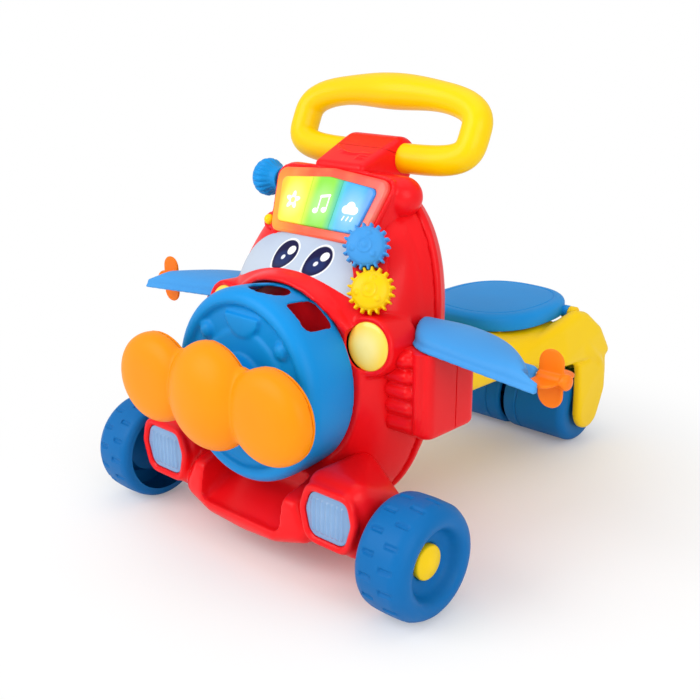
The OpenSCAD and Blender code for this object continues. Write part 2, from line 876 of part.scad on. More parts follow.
module gear(turned) {
    difference() {
        union() {
            linear_extrude(gear_w) polygon(gear_outline(turned));
            translate([0, 0, gear_w]) rotate_extrude()
                polygon(concat([[0, -dome_sink], [dome_r, -dome_sink]], dome));
        }
        translate([0, 0, -1]) cylinder(d = gear_pin_d + 2 * play, h = gear_w);
    }
}

module blue_gear() {
    color(blue) place() at_gear(-1) gear(0);
}

module yellow_gear() {
    color(yellow) place() at_gear(1) gear(0.5);
}

module gear_deck() {
    color(red) place() difference() {
        union() {
            hull($fn = 32) for (s = [-1, 1]) at_gear(s) translate([0, 0, -deck_t - hub_gap])
                cylinder(r = root_r - 2, h = deck_t);
            for (s = [-1, 1]) at_gear(s) translate([0, 0, -45]) cylinder(r = 11, h = 45 - hub_gap);
        }
        body_solid(screen_t + gap);
        hood_solid();
        panel_pocket();
        cheeks(seat);
        for (s = [-1, 1]) at_gear(s) translate([0, 0, -60]) cylinder(d = gear_pin_d, h = 80);
    }
}

module gear_pins() {
    color(steel) place() difference() {
        for (s = [-1, 1]) at_gear(s) translate([0, 0, -16]) cylinder(d = gear_pin_d, h = 16 + gear_w - 2);
        body_solid(screen_t + gap);
        hood_solid();
    }
}

// Ribbed knob on the far ear
knob_pin_d = 8;
knob_ribs = 18;
module at_knob() {
    translate([-ear_x - ear_r - gap, ear_y, ear_z]) rotate([0, -90, 0]) children();
}

module side_knob() {
    r = knob_d / 2;
    color(blue) place() at_knob() difference() {
        rotate_extrude() polygon(concat(
            [[0, 0], [r * 0.62, 0], [r * 0.66, knob_l * 0.25], [r, knob_l * 0.5]],
            [for (i = [0 : 8]) [r * cos(i * 90 / 8), knob_l * (0.62 + 0.38 * sin(i * 90 / 8))]]
        ));
        translate([0, 0, -1]) cylinder(d = knob_pin_d + 2 * play, h = knob_l - 8);
        for (i = [0 : knob_ribs - 1]) rotate([0, 0, i * 360 / knob_ribs])
            translate([r + 0.6, 0, knob_l * 0.3]) cylinder(d = 3, h = knob_l * 0.45, $fn = 16);
    }
}

knob_pin_in = 18;
module knob_pin() {
    color(steel) place() at_knob() translate([0, 0, -knob_pin_in])
        cylinder(d = knob_pin_d, h = knob_pin_in + knob_l - 10);
}

module knob_pin_room() {
    at_knob() translate([0, 0, -knob_pin_in - gap]) cylinder(d = knob_pin_d + 2 * play, h = knob_pin_in);
}

// Handle loop and the neck that clamps it
module at_handle() {
    translate([0, handle_y, handle_z]) rotate([90 - handle_lean, 0, 0]) children();
}

bend_r = handle_rise / 2;
bend_x = handle_w / 2 - handle_d / 2 - bend_r;
grip_grow = 3;
grip_l = 120;
module handle() {
    color(yellow) place() at_handle() {
        for (v = [0, handle_rise]) along_x(2 * bend_x, handle_d, [0, v, 0]);
        both_sides() translate([bend_x, bend_r, 0]) rotate([0, 0, -90]) rotate_extrude(angle = 180)
            translate([bend_r, 0]) circle(d = handle_d);
        translate([-grip_l / 2, handle_rise, 0]) rotate([0, 90, 0]) rotate_extrude() polygon(concat([[0, 0]],
            [for (i = [0 : 12]) [handle_d / 2 + grip_grow * sin(i * 15), grip_l * i / 12]], [[0, grip_l]]));
    }
}

neck_r = handle_d / 2 + 6;
module neck_solid() {
    hull($fn = 32) {
        along_x(neck_w - 12, 2 * neck_r, [0, handle_y, handle_z]);
        along_x(neck_w, 2 * neck_r - 12, [0, handle_y, handle_z]);
        translate([0, 112, panel_z + panel_h]) cube([neck_w - 8, 16, 20], center = true);
        translate([0, 150, body_top - 30]) cube([neck_w, 30, 20], center = true);
    }
}

module split_half(side) {
    translate([0, handle_y, handle_z]) rotate([-handle_lean, 0, 0])
        translate([0, 0, side * (handle_w + gap) / 2]) cube(handle_w, center = true);
}

module handle_neck() {
    color(red) place() difference() {
        intersection() {
            neck_solid();
            split_half(-1);
        }
        body_solid();
        hood_solid();
        along_x(handle_w, handle_d, [0, handle_y, handle_z]);
    }
}

module handle_clamp() {
    color(red) place() difference() {
        intersection() {
            neck_solid();
            split_half(1);
        }
        body_solid();
        hood_solid();
        along_x(handle_w, handle_d, [0, handle_y, handle_z]);
    }
}

// Cuts a piece back to the outside of the fuselage
module beside_body() {
    difference() {
        children();
        body_solid();
        cheeks(seat);
    }
}

// Wings, each a crowned leaf with a straight front edge, and their paddle wheels
root_x = body_w / 2 - 14;
side_x = body_w / 2 - 2;
root_round = 34;
widest = 0.3;
wing_edge = 3;
wing_points = 24;
wing_steps = [0, 0.02, 0.06, 0.12, 0.2, 0.3, 0.42, 0.54, 0.66, 0.77, 0.86, 0.93, 0.98];
function wing_share(s) = s < widest ? 1 - 0.38 * pow(1 - s / widest, 2) :
    pow(1 - pow((s - widest) / (1.01 - widest), 2.4), 1.5);
function wing_low(x) = wing_z - (x - body_w / 2) * tan(wing_droop);
function corner_back(d) = d >= root_round ? 0 : root_round - sqrt(d * (2 * root_round - d));
function wing_ring(x, s) =
    let (
        front = wing_y + corner_back(s * (wing_reach - side_x)),
        back = wing_y + max(wing_chord * wing_share(s), wing_edge),
        low = wing_low(x),
        crown = wing_crown * sqrt((back - front) / wing_chord)
    )
    concat(
        [for (i = [0 : wing_points]) let (a = 180 * i / wing_points)
            [x, mix(front, back, (1 - cos(a)) / 2), low + crown * pow(sin(a), 0.75)]],
        [[x, back, low - wing_edge], [x, front, low - wing_edge]]
    );

paddle_y = wing_y + paddle_d / 2 + 7;
paddle_x = wing_reach - 21;
paddle_z = wing_low(paddle_x);
mount_l = 44;
module wing() {
    difference() {
        union() {
            loft(concat(
                [wing_ring(root_x, 0)],
                [for (s = wing_steps) wing_ring(mix(side_x, wing_reach, s), s)]
            ));
            // Mount of the paddle's pin
            along_x(mount_l, paddle_pin_d + 9, [paddle_x - mount_l / 2 - gap / 2, paddle_y, paddle_z]);
        }
        along_x(2 * paddle_d, paddle_d + 4, [paddle_x + paddle_d, paddle_y, paddle_z]);
        along_x(60, paddle_pin_d + 2 * play, [paddle_x, paddle_y, paddle_z]);
    }
}

module paddle() {
    blade_t = 3;
    petal_r = paddle_w / 2;
    translate([paddle_x + gap + paddle_w / 2, paddle_y, paddle_z]) difference() {
        union() {
            along_x(paddle_w, paddle_pin_d + 6);
            for (i = [0 : 3]) rotate([i * 90, 0, 0]) translate([0, blade_t / 2, 0]) rotate([90, 0, 0])
                linear_extrude(blade_t) {
                    translate([0, paddle_d / 2 - petal_r]) circle(r = petal_r);
                    translate([-petal_r, 0]) square([2 * petal_r, paddle_d / 2 - petal_r]);
                }
        }
        along_x(2 * paddle_w, paddle_pin_d + 2 * play);
    }
}

module paddle_pin() {
    inside = 24;
    pin_l = inside + paddle_w + 3 * gap;
    translate([paddle_x - inside, paddle_y, paddle_z]) rotate([0, 90, 0]) {
        cylinder(d = paddle_pin_d, h = pin_l);
        translate([0, 0, pin_l]) cylinder(d = paddle_pin_d + 5, h = 3);
    }
}

module wing_right() {
    color(blue) place() beside_body() wing();
}

module wing_left() {
    color(blue) place() beside_body() mirror([1, 0, 0]) wing();
}

module paddle_right() {
    color(orange) place() paddle();
}

module paddle_left() {
    color(orange) place() mirror([1, 0, 0]) paddle();
}

module paddle_pin_right() {
    color(steel) place() paddle_pin();
}

module paddle_pin_left() {
    color(steel) place() mirror([1, 0, 0]) paddle_pin();
}

// Side pods under the wings, with a ribbed front edge
pod_ribs = 5;
pod_reach = 158;
pod_back_y = 132;
function side_outline(inset) = rounded([[80, 58 + inset], [pod_reach - inset, 58 + inset],
    [pod_reach - inset, pod_back_y - inset], [80, pod_back_y - inset]], 9);
module side_pod() {
    low = 137;
    high = wing_z - 2;
    difference() {
        union() {
            translate([0, 0, low]) linear_extrude(high - low + 10) polygon(side_outline(0));
            for (i = [0 : pod_ribs - 1])
                along_x(26, 15, [124, 54 + 2 * i, high - 12 - i * (high - low - 22) / (pod_ribs - 1)]);
        }
        translate([0, 0, low + wall]) linear_extrude(high) polygon(side_outline(wall));
        translate([body_w / 2, 0, wing_z - wing_edge - gap]) rotate([0, wing_droop, 0])
            translate([-200, -200, 0]) cube([600, 600, 100]);
    }
}

module side_pod_right() {
    color(red) place() beside_body() side_pod();
}

module side_pod_left() {
    color(red) place() beside_body() mirror([1, 0, 0]) side_pod();
}

// Front wheels: dished tyres on one through axle, with caps over its ends
hub_face = front_wheel_w - 18;
module wheel_outline(r, w, round_in, round_out) {
    translate([0, round_in]) square([r, w - round_in - round_out]);
    square([r - round_in, w]);
    translate([r - round_in, round_in]) circle(round_in);
    translate([r - round_out, w - round_out]) circle(round_out);
}

module front_wheel() {
    dish_r = front_r * 0.6;
    cap_r = hub_cap_d / 2;
    dish_z = front_wheel_w - 11;
    difference() {
        rotate_extrude() wheel_outline(front_r, front_wheel_w, 10, 12);
        // Dish on the outside
        translate([0, 0, dish_z]) cylinder(r1 = dish_r - 7, r2 = dish_r, h = 12);
        // Pocket of the hub cap and of the push nut
        translate([0, 0, hub_face]) cylinder(r = cap_r, h = front_wheel_w);
        translate([0, 0, hub_face - 8]) cylinder(d = 2 * axle_d + 2, h = front_wheel_w);
        // Hollow open towards the fuselage
        rotate_extrude() polygon([[axle_d + 2, -1], [front_r - 8, -1], [front_r - wall - 1, 10],
            [front_r - wall - 1, front_wheel_w - 14], [dish_r + 2, front_wheel_w - 14],
            [dish_r - 4, hub_face - 12], [axle_d + 2, hub_face - 12]]);
        translate([0, 0, -1]) cylinder(d = axle_d + 2 * play, h = front_wheel_w);
        for (i = [0 : tread_slots - 1], row = [0, 1]) rotate([0, 0, (i + row / 2) * 360 / tread_slots])
            translate([front_r, 0, row == 0 ? 15 : front_wheel_w - 17]) cube([3, 4, 13], center = true);
    }
}

module at_front_wheel() {
    translate([track_w / 2 - front_wheel_w, 0, front_r]) rotate([0, 90, 0]) children();
}

module hub_cap() {
    cap_r = hub_cap_d / 2 - gap / 2;
    translate([0, 0, hub_face]) rotate_extrude()
        polygon(concat([[0, 2], [cap_r - 2, 2], [cap_r - 2, 0], [cap_r, 0]],
            [for (i = [0 : 6]) [cap_r * cos(i * 15), 6 + 4 * sin(i * 15)]]));
}

module front_wheel_right() {
    color(blue) place() at_front_wheel() front_wheel();
}

module front_wheel_left() {
    color(blue) place() mirror([1, 0, 0]) at_front_wheel() front_wheel();
}

module hub_cap_right() {
    color(yellow) place() at_front_wheel() hub_cap();
}

module hub_cap_left() {
    color(yellow) place() mirror([1, 0, 0]) at_front_wheel() hub_cap();
}

nut_t = 3;
axle_half = track_w / 2 - front_wheel_w + hub_face - 8 + nut_t + 2;
module front_axle() {
    color(steel) place() along_x(2 * axle_half, axle_d, [0, 0, front_r]);
}

module front_axle_nuts() {
    color(steel) place() both_sides() at_front_wheel() translate([0, 0, hub_face - 8 + gap]) difference() {
        cylinder(d = 2 * axle_d - 2, h = nut_t);
        translate([0, 0, -1]) cylinder(d = axle_d, h = 3 * nut_t);
    }
}

// Tail: a beam from the fuselage that widens into a fender with two forks
tail_bottom = tail_top - tail_h;
fender_half = fork_w / 2;
function tail_ring(y, half, top, bottom, power = 4) = [y, half, (top + bottom) / 2, top, bottom, power];
function tail_rings() = [
    tail_ring(back_y - 30, tail_w / 2 - 3, tail_top - 2, tail_bottom + 2),
    tail_ring(mix(back_y, wheelbase, 0.3), tail_w / 2, tail_top, tail_bottom),
    tail_ring(wheelbase - 122, tail_w / 2 + 6, tail_top, tail_bottom),
    tail_ring(wheelbase - 66, mix(tail_w / 2, fender_half, 0.6), tail_top, tail_bottom - 3),
    tail_ring(wheelbase - 22, fender_half - 4, tail_top - 3, rear_r + 50, 3),
    tail_ring(wheelbase + 8, fender_half, tail_top - 26, rear_r + 46, 2.5),
    tail_ring(wheelbase + 36, fender_half - 4, tail_top - 60, rear_r + 32, 2.5),
    tail_ring(tail_end_y, fender_half - 24, tail_top - 82, rear_r + 22, 2.5)
];

module tail_solid(grow) {
    loft([for (s = tail_rings()) ring(s, grow, 0)]);
}

fork_t = 10;
web_l = 50;
module fork() {
    hull($fn = 32) {
        translate([fender_half - fork_t, wheelbase, rear_r]) rotate([0, 90, 0]) cylinder(r = 25, h = fork_t);
        translate([fender_half - fork_t, wheelbase + 14, rear_r + 24]) rotate([0, 90, 0])
            cylinder(r = 22, h = fork_t);
        translate([fender_half - fork_t - 2, wheelbase - 26, rear_r + 55]) cube([fork_t, 62, 8]);
    }
}

// Cheek that rises beside the lid's hinge
cheek_in = fender_half - 18;
module tail_cheek() {
    r = 8;
    hull($fn = 24) {
        for (p = [[0, -88, -24], [0, -30, 0], [1, -8, -6], [4, 30, -52], [3, -60, -40]])
            translate([cheek_in + p[0], wheelbase + p[1], tail_top + p[2]]) sphere(r, $fn = 24);
    }
}

seat_y = wheelbase - seat_ahead;
hinge_y = wheelbase - 16;
hinge_z = tail_top + 4;
bin_w = 104;
bin_front = seat_y - 66;
bin_back = wheelbase - rear_r - 8;
ear_w = 9;
ear_in = seat_w / 2 - 12;
knuckle_d = 16;

module tail_shell() {
    color(yellow) place() difference() {
        union() {
            difference() {
                union() {
                    tail_solid(0);
                    both_sides() fork();
                    both_sides() tail_cheek();
                }
                tail_hollow();
            }
            // Web between the rear rollers, with the axle's middle bearing
            translate([-web_t / 2, wheelbase - web_l / 2, rear_r - axle_d]) cube([web_t, web_l, 56]);
            // Knuckles that carry the lid
            both_sides() along_x(ear_w, knuckle_d, [ear_in + 2 * ear_w - gap, hinge_y, hinge_z]);
            both_sides() translate([ear_in + 1.5 * ear_w - gap, hinge_y - knuckle_d / 2, tail_top - 22])
                cube([ear_w, knuckle_d, 22 + hinge_z - tail_top]);
        }
        body_solid();
        along_x(400, axle_d, [0, wheelbase, rear_r]);
        along_x(400, hinge_pin_d, [0, hinge_y, hinge_z]);
        seat_opening();
        // Room for the lid's ears
        both_sides() along_x(ear_w + 2 * gap, knuckle_d + 6, [ear_in + ear_w, hinge_y, hinge_z]);
    }
}

module tail_hollow() {
    hollow = [
        for (s = tail_rings())
            ring([s[0], s[1] - wall, s[2] - wall - 40, s[3] - wall, s[4] - 90, 5], 0, 0)
    ];
    well = fender_half - fork_t - 2;
    difference() {
        intersection() {
            loft(hollow);
            translate([-well, 0, -50]) cube([2 * well, tail_end_y - wall, 400]);
        }
        translate([-web_t / 2, wheelbase - web_l / 2, 0]) cube([web_t, web_l, 400]);
    }
}

// The lid's opening: the bin in front of the hinge, the lid's own swing behind it
module seat_opening() {
    swing = 30;
    translate([-bin_w / 2, bin_front, tail_bottom + 10]) cube([bin_w, bin_back - bin_front, 2 * tail_h]);
    translate([0, 0, tail_top - swing - 10]) linear_extrude(2 * tail_h) intersection() {
        polygon(seat_outline(3));
        translate([-seat_w, hinge_y - swing]) square(2 * seat_w);
    }
}

// Bin below the seat lid
module storage_bin() {
    color(yellow) place() difference() {
        translate([-bin_w / 2 + seat, bin_front + seat, tail_bottom + wall + seat])
            cube([bin_w - 2 * seat, bin_back - bin_front - 2 * seat, tail_h - wall]);
        translate([-bin_w / 2 + wall, bin_front + wall, tail_bottom + 2 * wall])
            cube([bin_w - 2 * wall, bin_back - bin_front - 2 * wall, tail_h]);
    }
}

module tail_underside() {
    low = back_y + 14;
    color(yellow) place() intersection() {
        tail_hollow();
        translate([-tail_w, low, tail_bottom + 0.5]) cube([2 * tail_w, bin_back - low, wall - 0.5]);
    }
}

function seat_outline(inset) = [
    for (i = [0 : 47])
        let (a = 360 * i / 48)
        [-(seat_w / 2 - inset) * curve(cos(a), 2.5), seat_y + (seat_l / 2 - inset) * curve(sin(a), 2.5)]
];

module seat_lid() {
    levels = [[2, 0], [0, 2], [0, seat_t - 7], [1.5, seat_t - 3.5], [5, seat_t - 1], [12, seat_t],
        [30, seat_t + 0.6]];
    color(blue) place() difference() {
        union() {
            loft([for (l = levels) [for (p = seat_outline(l[0])) [p[0], p[1], tail_top + gap + l[1]]]]);
            both_sides() along_x(ear_w, knuckle_d, [ear_in + ear_w, hinge_y, hinge_z]);
        }
        both_sides() along_x(ear_w + 2 * gap, knuckle_d + 1, [ear_in + 2 * ear_w, hinge_y, hinge_z]);
        along_x(400, hinge_pin_d + 2 * play, [0, hinge_y, hinge_z]);
        // Hollow underneath
        loft([for (l = [[wall + 2, -1], [wall + 2, seat_t - 8], [10, seat_t - wall - 1]])
            [for (p = seat_outline(l[0])) [p[0], p[1], tail_top + gap + l[1]]]]);
    }
}

module seat_hinge_pins() {
    pin_l = 2 * ear_w + 4;
    color(steel) place() both_sides() along_x(pin_l, hinge_pin_d, [ear_in + 1.5 * ear_w, hinge_y, hinge_z]);
}

// Rear rollers on one axle through both forks
module rear_wheel() {
    bush_r = axle_d + 1;
    difference() {
        rotate_extrude() wheel_outline(rear_r, rear_wheel_w, 5, 10);
        rotate_extrude() polygon([[bush_r, -1], [rear_r - 6, -1], [rear_r - wall - 1, 5],
            [rear_r - wall - 1, rear_wheel_w - 12], [rear_r - 14, rear_wheel_w - 4],
            [bush_r, rear_wheel_w - 4]]);
        translate([0, 0, rear_wheel_w * 0.22]) rotate_extrude() translate([rear_r, 0]) circle(1.2, $fn = 24);
        translate([0, 0, -1]) cylinder(d = axle_d + 2 * play, h = rear_wheel_w + 2);
    }
}

module at_rear_wheel() {
    translate([web_t / 2 + 1, wheelbase, rear_r]) rotate([0, 90, 0]) children();
}

module rear_wheel_right() {
    color(blue) place() at_rear_wheel() rear_wheel();
}

module rear_wheel_left() {
    color(blue) place() mirror([1, 0, 0]) at_rear_wheel() rear_wheel();
}

module rear_axle() {
    color(steel) place() along_x(fork_w - 4, axle_d, [0, wheelbase, rear_r]);
}

front_shell();
rear_shell();
front_bumper();
windscreen();
nose_cone();
main_propeller();
propeller_back();
propeller_pin();
cheek_lamp_left();
cheek_lamp_right();
headlamp_left();
headlamp_right();
panel_hood();
panel_rim();
key_yellow();
key_green();
key_blue();
key_pad();
circuit_board();
panel_lamps();
speaker();
side_button();
gear_deck();
blue_gear();
yellow_gear();
gear_pins();
side_knob();
knob_pin();
handle_neck();
handle_clamp();
handle();
wing_left();
wing_right();
paddle_left();
paddle_right();
paddle_pin_left();
paddle_pin_right();
side_pod_left();
side_pod_right();
front_axle();
front_axle_nuts();
front_wheel_left();
front_wheel_right();
hub_cap_left();
hub_cap_right();
tail_shell();
tail_underside();
storage_bin();
seat_lid();
seat_hinge_pins();
rear_axle();
rear_wheel_left();
rear_wheel_right();
battery_box();
battery_cells();
battery_door();
shell_screws();
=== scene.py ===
import math
import bmesh
import bpy
import numpy as np
from mathutils import Matrix, Vector


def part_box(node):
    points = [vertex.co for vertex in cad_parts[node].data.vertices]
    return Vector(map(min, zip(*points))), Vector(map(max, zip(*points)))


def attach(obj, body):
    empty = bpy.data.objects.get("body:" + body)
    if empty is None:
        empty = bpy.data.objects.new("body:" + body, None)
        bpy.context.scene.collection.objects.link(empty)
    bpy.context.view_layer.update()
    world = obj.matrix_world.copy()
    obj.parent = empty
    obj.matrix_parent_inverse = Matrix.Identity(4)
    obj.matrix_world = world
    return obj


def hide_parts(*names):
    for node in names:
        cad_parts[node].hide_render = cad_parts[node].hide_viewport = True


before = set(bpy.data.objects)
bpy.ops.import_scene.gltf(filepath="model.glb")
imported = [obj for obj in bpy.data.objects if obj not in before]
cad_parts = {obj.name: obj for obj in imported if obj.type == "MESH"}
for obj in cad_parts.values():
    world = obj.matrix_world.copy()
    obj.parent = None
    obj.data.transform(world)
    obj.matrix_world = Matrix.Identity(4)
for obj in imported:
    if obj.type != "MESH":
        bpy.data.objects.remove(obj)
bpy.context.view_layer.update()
axleY = sum(corner[1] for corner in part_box("front_wheel_left")) / 2  # metres; shapes count from here, in mm
print("frame loaded, front axle at", round(axleY, 4))


# shader wires
def connect(tree, socket, value):
    if isinstance(value, Wire):
        tree.links.new(value.socket, socket)
    else:
        socket.default_value = value


class Wire:
    def __init__(self, tree, socket=None):
        self.tree = tree
        self.socket = socket

    def node(self, kind, settings=None, values=None, out=0):
        made = self.tree.nodes.new("ShaderNode" + kind)
        for key, value in (settings or {}).items():
            setattr(made, key, value)
        for key, value in (values or {}).items():
            connect(self.tree, made.inputs[key], value)
        return Wire(self.tree, made.outputs[out])

    def maths(self, operation, first, second=0.0):
        return self.node("Math", {"operation": operation}, {0: first, 1: second})

    def __add__(self, other):
        return self.maths("ADD", self, other)

    def __radd__(self, other):
        return self.maths("ADD", other, self)

    def __sub__(self, other):
        return self.maths("SUBTRACT", self, other)

    def __rsub__(self, other):
        return self.maths("SUBTRACT", other, self)

    def __mul__(self, other):
        return self.maths("MULTIPLY", self, other)

    def __truediv__(self, other):
        return self.maths("DIVIDE", self, other)

    def __pow__(self, other):
        return self.maths("POWER", self, other)

    def least(self, other):
        return self.maths("MINIMUM", self, other)

    def most(self, other):
        return self.maths("MAXIMUM", self, other)

    def step(self, low, high):  # soft step from 0 at low to 1 at high
        return self.node("MapRange", {"interpolation_type": "SMOOTHSTEP"},
                         {"Value": self, "From Min": low, "From Max": high})

    def tint(self, first, second):  # this wire mixes two colours
        return self.node("Mix", {"data_type": "RGBA"}, {0: self, 6: first, 7: second}, out=2)

    def place(self):  # object coordinates
        return self.node("TexCoord", out=3)

    def axis(self, which):  # 0, 1, 2 for x, y, z of this vector
        return self.node("SeparateXYZ", values={0: self}, out=which)

    def length(self):
        return self.node("VectorMath", {"operation": "LENGTH"}, {0: self}, out=1)

    def noise(self, scale, detail):  # noise over this vector
        return self.node("TexNoise", values={"Vector": self, "Scale": scale, "Detail": detail})

    def bump(self, strength, distance):  # this wire is the height
        return self.node("Bump", values={"Strength": strength, "Distance": distance, "Height": self})


def oval(x, y, midX, midY, w, h, soft):  # 1 inside an oval, 0 outside
    far = (((x - midX) / w) ** 2 + ((y - midY) / h) ** 2) ** 0.5
    return 1 - far.step(1 - soft / w, 1 + soft / w)


def colour(text):  # web colour to linear light
    parts = [int(text[i:i + 2], 16) / 255 for i in (1, 3, 5)]
    return [c / 12.92 if c <= 0.04045 else ((c + 0.055) / 1.055) ** 2.4 for c in parts] + [1.0]


white = colour("#ffffff")


def startFinish(name):
    material = bpy.data.materials.new(name)
    material.use_nodes = True
    return material, Wire(material.node_tree), material.node_tree.nodes["Principled BSDF"]


def feed(pen, shader, **values):
    for key, value in values.items():
        connect(pen.tree, shader.inputs[key.replace("_", " ")], value)


# shared by all moulded plastics
mould = {"cloud": 6.0, "peel": 260.0, "grain": 1500.0, "scuff": (14.0, 90.0, 30.0),
         "scuffTurn": (0.5, 0.3, 0.8), "ior": 1.49, "specular": 0.17, "coatRough": 0.12, "bumpDeep": 0.0006}


def mouldedPlastic(name, look):
    material, pen, shader = startFinish(name)
    place = pen.place()
    cloud = place.noise(mould["cloud"], 3.0)
    peel = place.noise(mould["peel"], 2.0)
    grain = place.noise(mould["grain"], 3.0)
    streak = pen.node("Mapping", values={"Vector": place, "Scale": mould["scuff"],
                                         "Rotation": mould["scuffTurn"]})
    scuff = streak.noise(6.0, 4.0).step(0.62, 0.78)
    edge = pen.node("NewGeometry", out=7).step(0.53, 0.66)  # pointiness: painted highlight, a lighter sheen along the edges
    light = colour(look["light"])
    base = cloud.step(0.3, 0.7).tint(colour(look["deep"]), colour(look["colour"]))
    # painted highlight: edges lightened toward the light colour as a sheen
    base = (edge * look.get("edge", 0.2)).tint(base, light)
    base = (scuff * 0.06).tint(base, light)
    rough = look["rough"] + (cloud - 0.5) * 0.08 + scuff * 0.10 + (grain - 0.5) * 0.06
    height = peel * 0.5 + grain * look.get("grain", 0.3)
    feed(pen, shader, Base_Color=base, Roughness=rough,
         Normal=height.bump(look.get("bump", 0.06), mould["bumpDeep"]),
         IOR=mould["ior"], Specular_IOR_Level=mould["specular"], Coat_Weight=look.get("coat", 0.0),
         Coat_Roughness=mould["coatRough"])
    return material


plastics = {
    "redShell": {"colour": "#f2141c", "deep": "#ea0e16", "light": "#ff5048", "rough": 0.30, "coat": 0.06,
                 "edge": 0.12},
    "blueBody": {"colour": "#0a90dc", "deep": "#0486d0", "light": "#5cb6ee", "rough": 0.40},
    "blueWheel": {"colour": "#0069ae", "deep": "#0061a2", "light": "#2a8ccc", "rough": 0.46, "grain": 0.5},
    "blueSeat": {"colour": "#1690dc", "deep": "#1088d2", "light": "#66b4ea", "rough": 0.45, "grain": 0.8,
                 "bump": 0.12},
    "blueWing": {"colour": "#4a9ce0", "deep": "#3e94da", "light": "#90c8f2", "rough": 0.44},
    "yellowGloss": {"colour": "#f9d000", "deep": "#f3c600", "light": "#fddc3c", "rough": 0.32,
                    "coat": 0.06},
    "orangeSatin": {"colour": "#fc9400", "deep": "#f68c00", "light": "#ffb03c", "rough": 0.42},
    "orangeBlade": {"colour": "#fb7f12", "deep": "#f4750c", "light": "#ffa850", "rough": 0.36},
    "darkRed": {"colour": "#b81018", "deep": "#a60c14", "light": "#d83a38", "rough": 0.42},
    "padRubber": {"colour": "#d9d4c8", "deep": "#cbc5b8", "light": "#ece8de", "rough": 0.7, "grain": 0.9,
                  "bump": 0.15},
    "speakerBlack": {"colour": "#3a3a3e", "deep": "#2c2c30", "light": "#5a5a60", "rough": 0.55,
                     "grain": 0.9, "bump": 0.15},
    "cellWrap": {"colour": "#3c4650", "deep": "#333c46", "light": "#66727e", "rough": 0.35},
}
finish = {name: mouldedPlastic(name, look) for name, look in plastics.items()}


def steelFinish():
    material, pen, shader = startFinish("steelPin")
    marks = pen.node("Mapping", values={"Vector": pen.place(), "Scale": (900.0, 60.0, 60.0)})
    line = marks.noise(3.0, 3.0)
    feed(pen, shader, Base_Color=line.tint(colour("#9ea3a8"), colour("#c6cacd")),
         Roughness=0.26 + line * 0.16, Normal=line.bump(0.08, 0.0003), Metallic=1.0)
    return material


def boardFinish():
    material, pen, shader = startFinish("greenBoard")
    place = pen.place()
    track = pen.node("TexBrick", {"offset": 0.5},
                     {"Vector": place, "Scale": 160.0, "Mortar Size": 0.012, "Color1": colour("#2f7d4a"),
                      "Color2": colour("#2a7042"), "Mortar": colour("#5fae72")})
    speck = pen.node("TexVoronoi", values={"Vector": place, "Scale": 220.0}).step(0.12, 0.2)
    feed(pen, shader, Base_Color=speck.tint(colour("#c9b26a"), track), Roughness=0.35 + speck * 0.15)
    return material


def lensFinish(name, look):  # clear tinted plastic; the lighter centre and faint emission are painted glow on the headlamp and cheek lenses, and real lamp light only on the panel lamps
    material, pen, shader = startFinish(name)
    place = pen.place()
    cloud, grain = place.noise(40.0, 3.0), place.noise(1300.0, 2.0)
    # painted glow: the lens centre lightened toward the light colour
    heart = 1 - place.length().step(look["heart"] * 0.15, look["heart"])
    base = heart.tint(colour(look["colour"]), colour(look["light"]))
    base = (cloud.step(0.35, 0.75) * 0.22).tint(base, colour(look["deep"]))
    # painted glow: faint emission, which only the panel lamps really give
    feed(pen, shader, Base_Color=base, Roughness=look["rough"] + (cloud - 0.5) * 0.06,
         Normal=grain.bump(0.05, 0.0005), Emission_Color=base, Emission_Strength=look["glow"],
         Coat_Weight=0.4, Coat_Roughness=0.08)
    return material


# glow and heart are painted light on the headlamp and cheek lenses; the panel lamps shine for real
lenses = {
    "cheekLens": {"colour": "#f6d23c", "light": "#f8e890", "deep": "#ecc930", "rough": 0.26, "heart": 0.026,
                  "glow": 0.08},
    "headlampLens": {"colour": "#7099c6", "light": "#7ea6d0", "deep": "#5f8cbc", "rough": 0.26,
                     "heart": 0.03, "glow": 0.05},
    "panelLamp": {"colour": "#fff3d0", "light": "#ffffff", "deep": "#ffe6a0", "rough": 0.2, "heart": 0.3,
                  "glow": 0.6},
}
finish.update({name: lensFinish(name, look) for name, look in lenses.items()})
finish["steelPin"] = steelFinish()
finish["greenBoard"] = boardFinish()
print("finishes ready:", len(finish))


# solids: vertices in mm from the front axle, and faces
def mix(a, b, t):
    return a + (b - a) * t


def smooth(t):
    t = np.clip(t, 0.0, 1.0)
    return t * t * (3 - 2 * t)


def ease(t):
    return 1 - (1 - t) ** 2


def curve(c, power):
    return np.sign(c) * np.abs(c) ** (2 / power)


def turns(n):
    return np.arange(n) * 2 * np.pi / n


def quarter(n):
    return np.linspace(0, math.pi / 2, n)


def arc(midR, midZ, wide, high, angles):
    return [(midR + wide * math.cos(a), midZ + high * math.sin(a)) for a in angles]


def rect(x0, y0, x1, y1):
    return [(x0, y0), (x1, y0), (x1, y1), (x0, y1)]


def flat(outline, z):  # the outline laid at one height
    return np.column_stack([outline, np.full(len(outline), z)])


def ringX(x, r, y, z, n):  # circle across the x axis
    a = turns(n)
    return np.column_stack([np.full(n, x), y + r * np.cos(a), z + r * np.sin(a)])


def loft(rings, loop=False):  # rings of equal count, capped at both ends unless they run round in a loop
    rings = [np.asarray(r, float) for r in rings]
    n = len(rings[0])
    faces = []
    count = len(rings)
    for j in range(count if loop else count - 1):
        a, b = j * n, ((j + 1) % count) * n
        faces += [(a + i, a + (i + 1) % n, b + (i + 1) % n, b + i) for i in range(n)]
    if not loop:
        faces += [tuple(range(n - 1, -1, -1)), tuple((count - 1) * n + i for i in range(n))]
    return np.concatenate(rings), faces


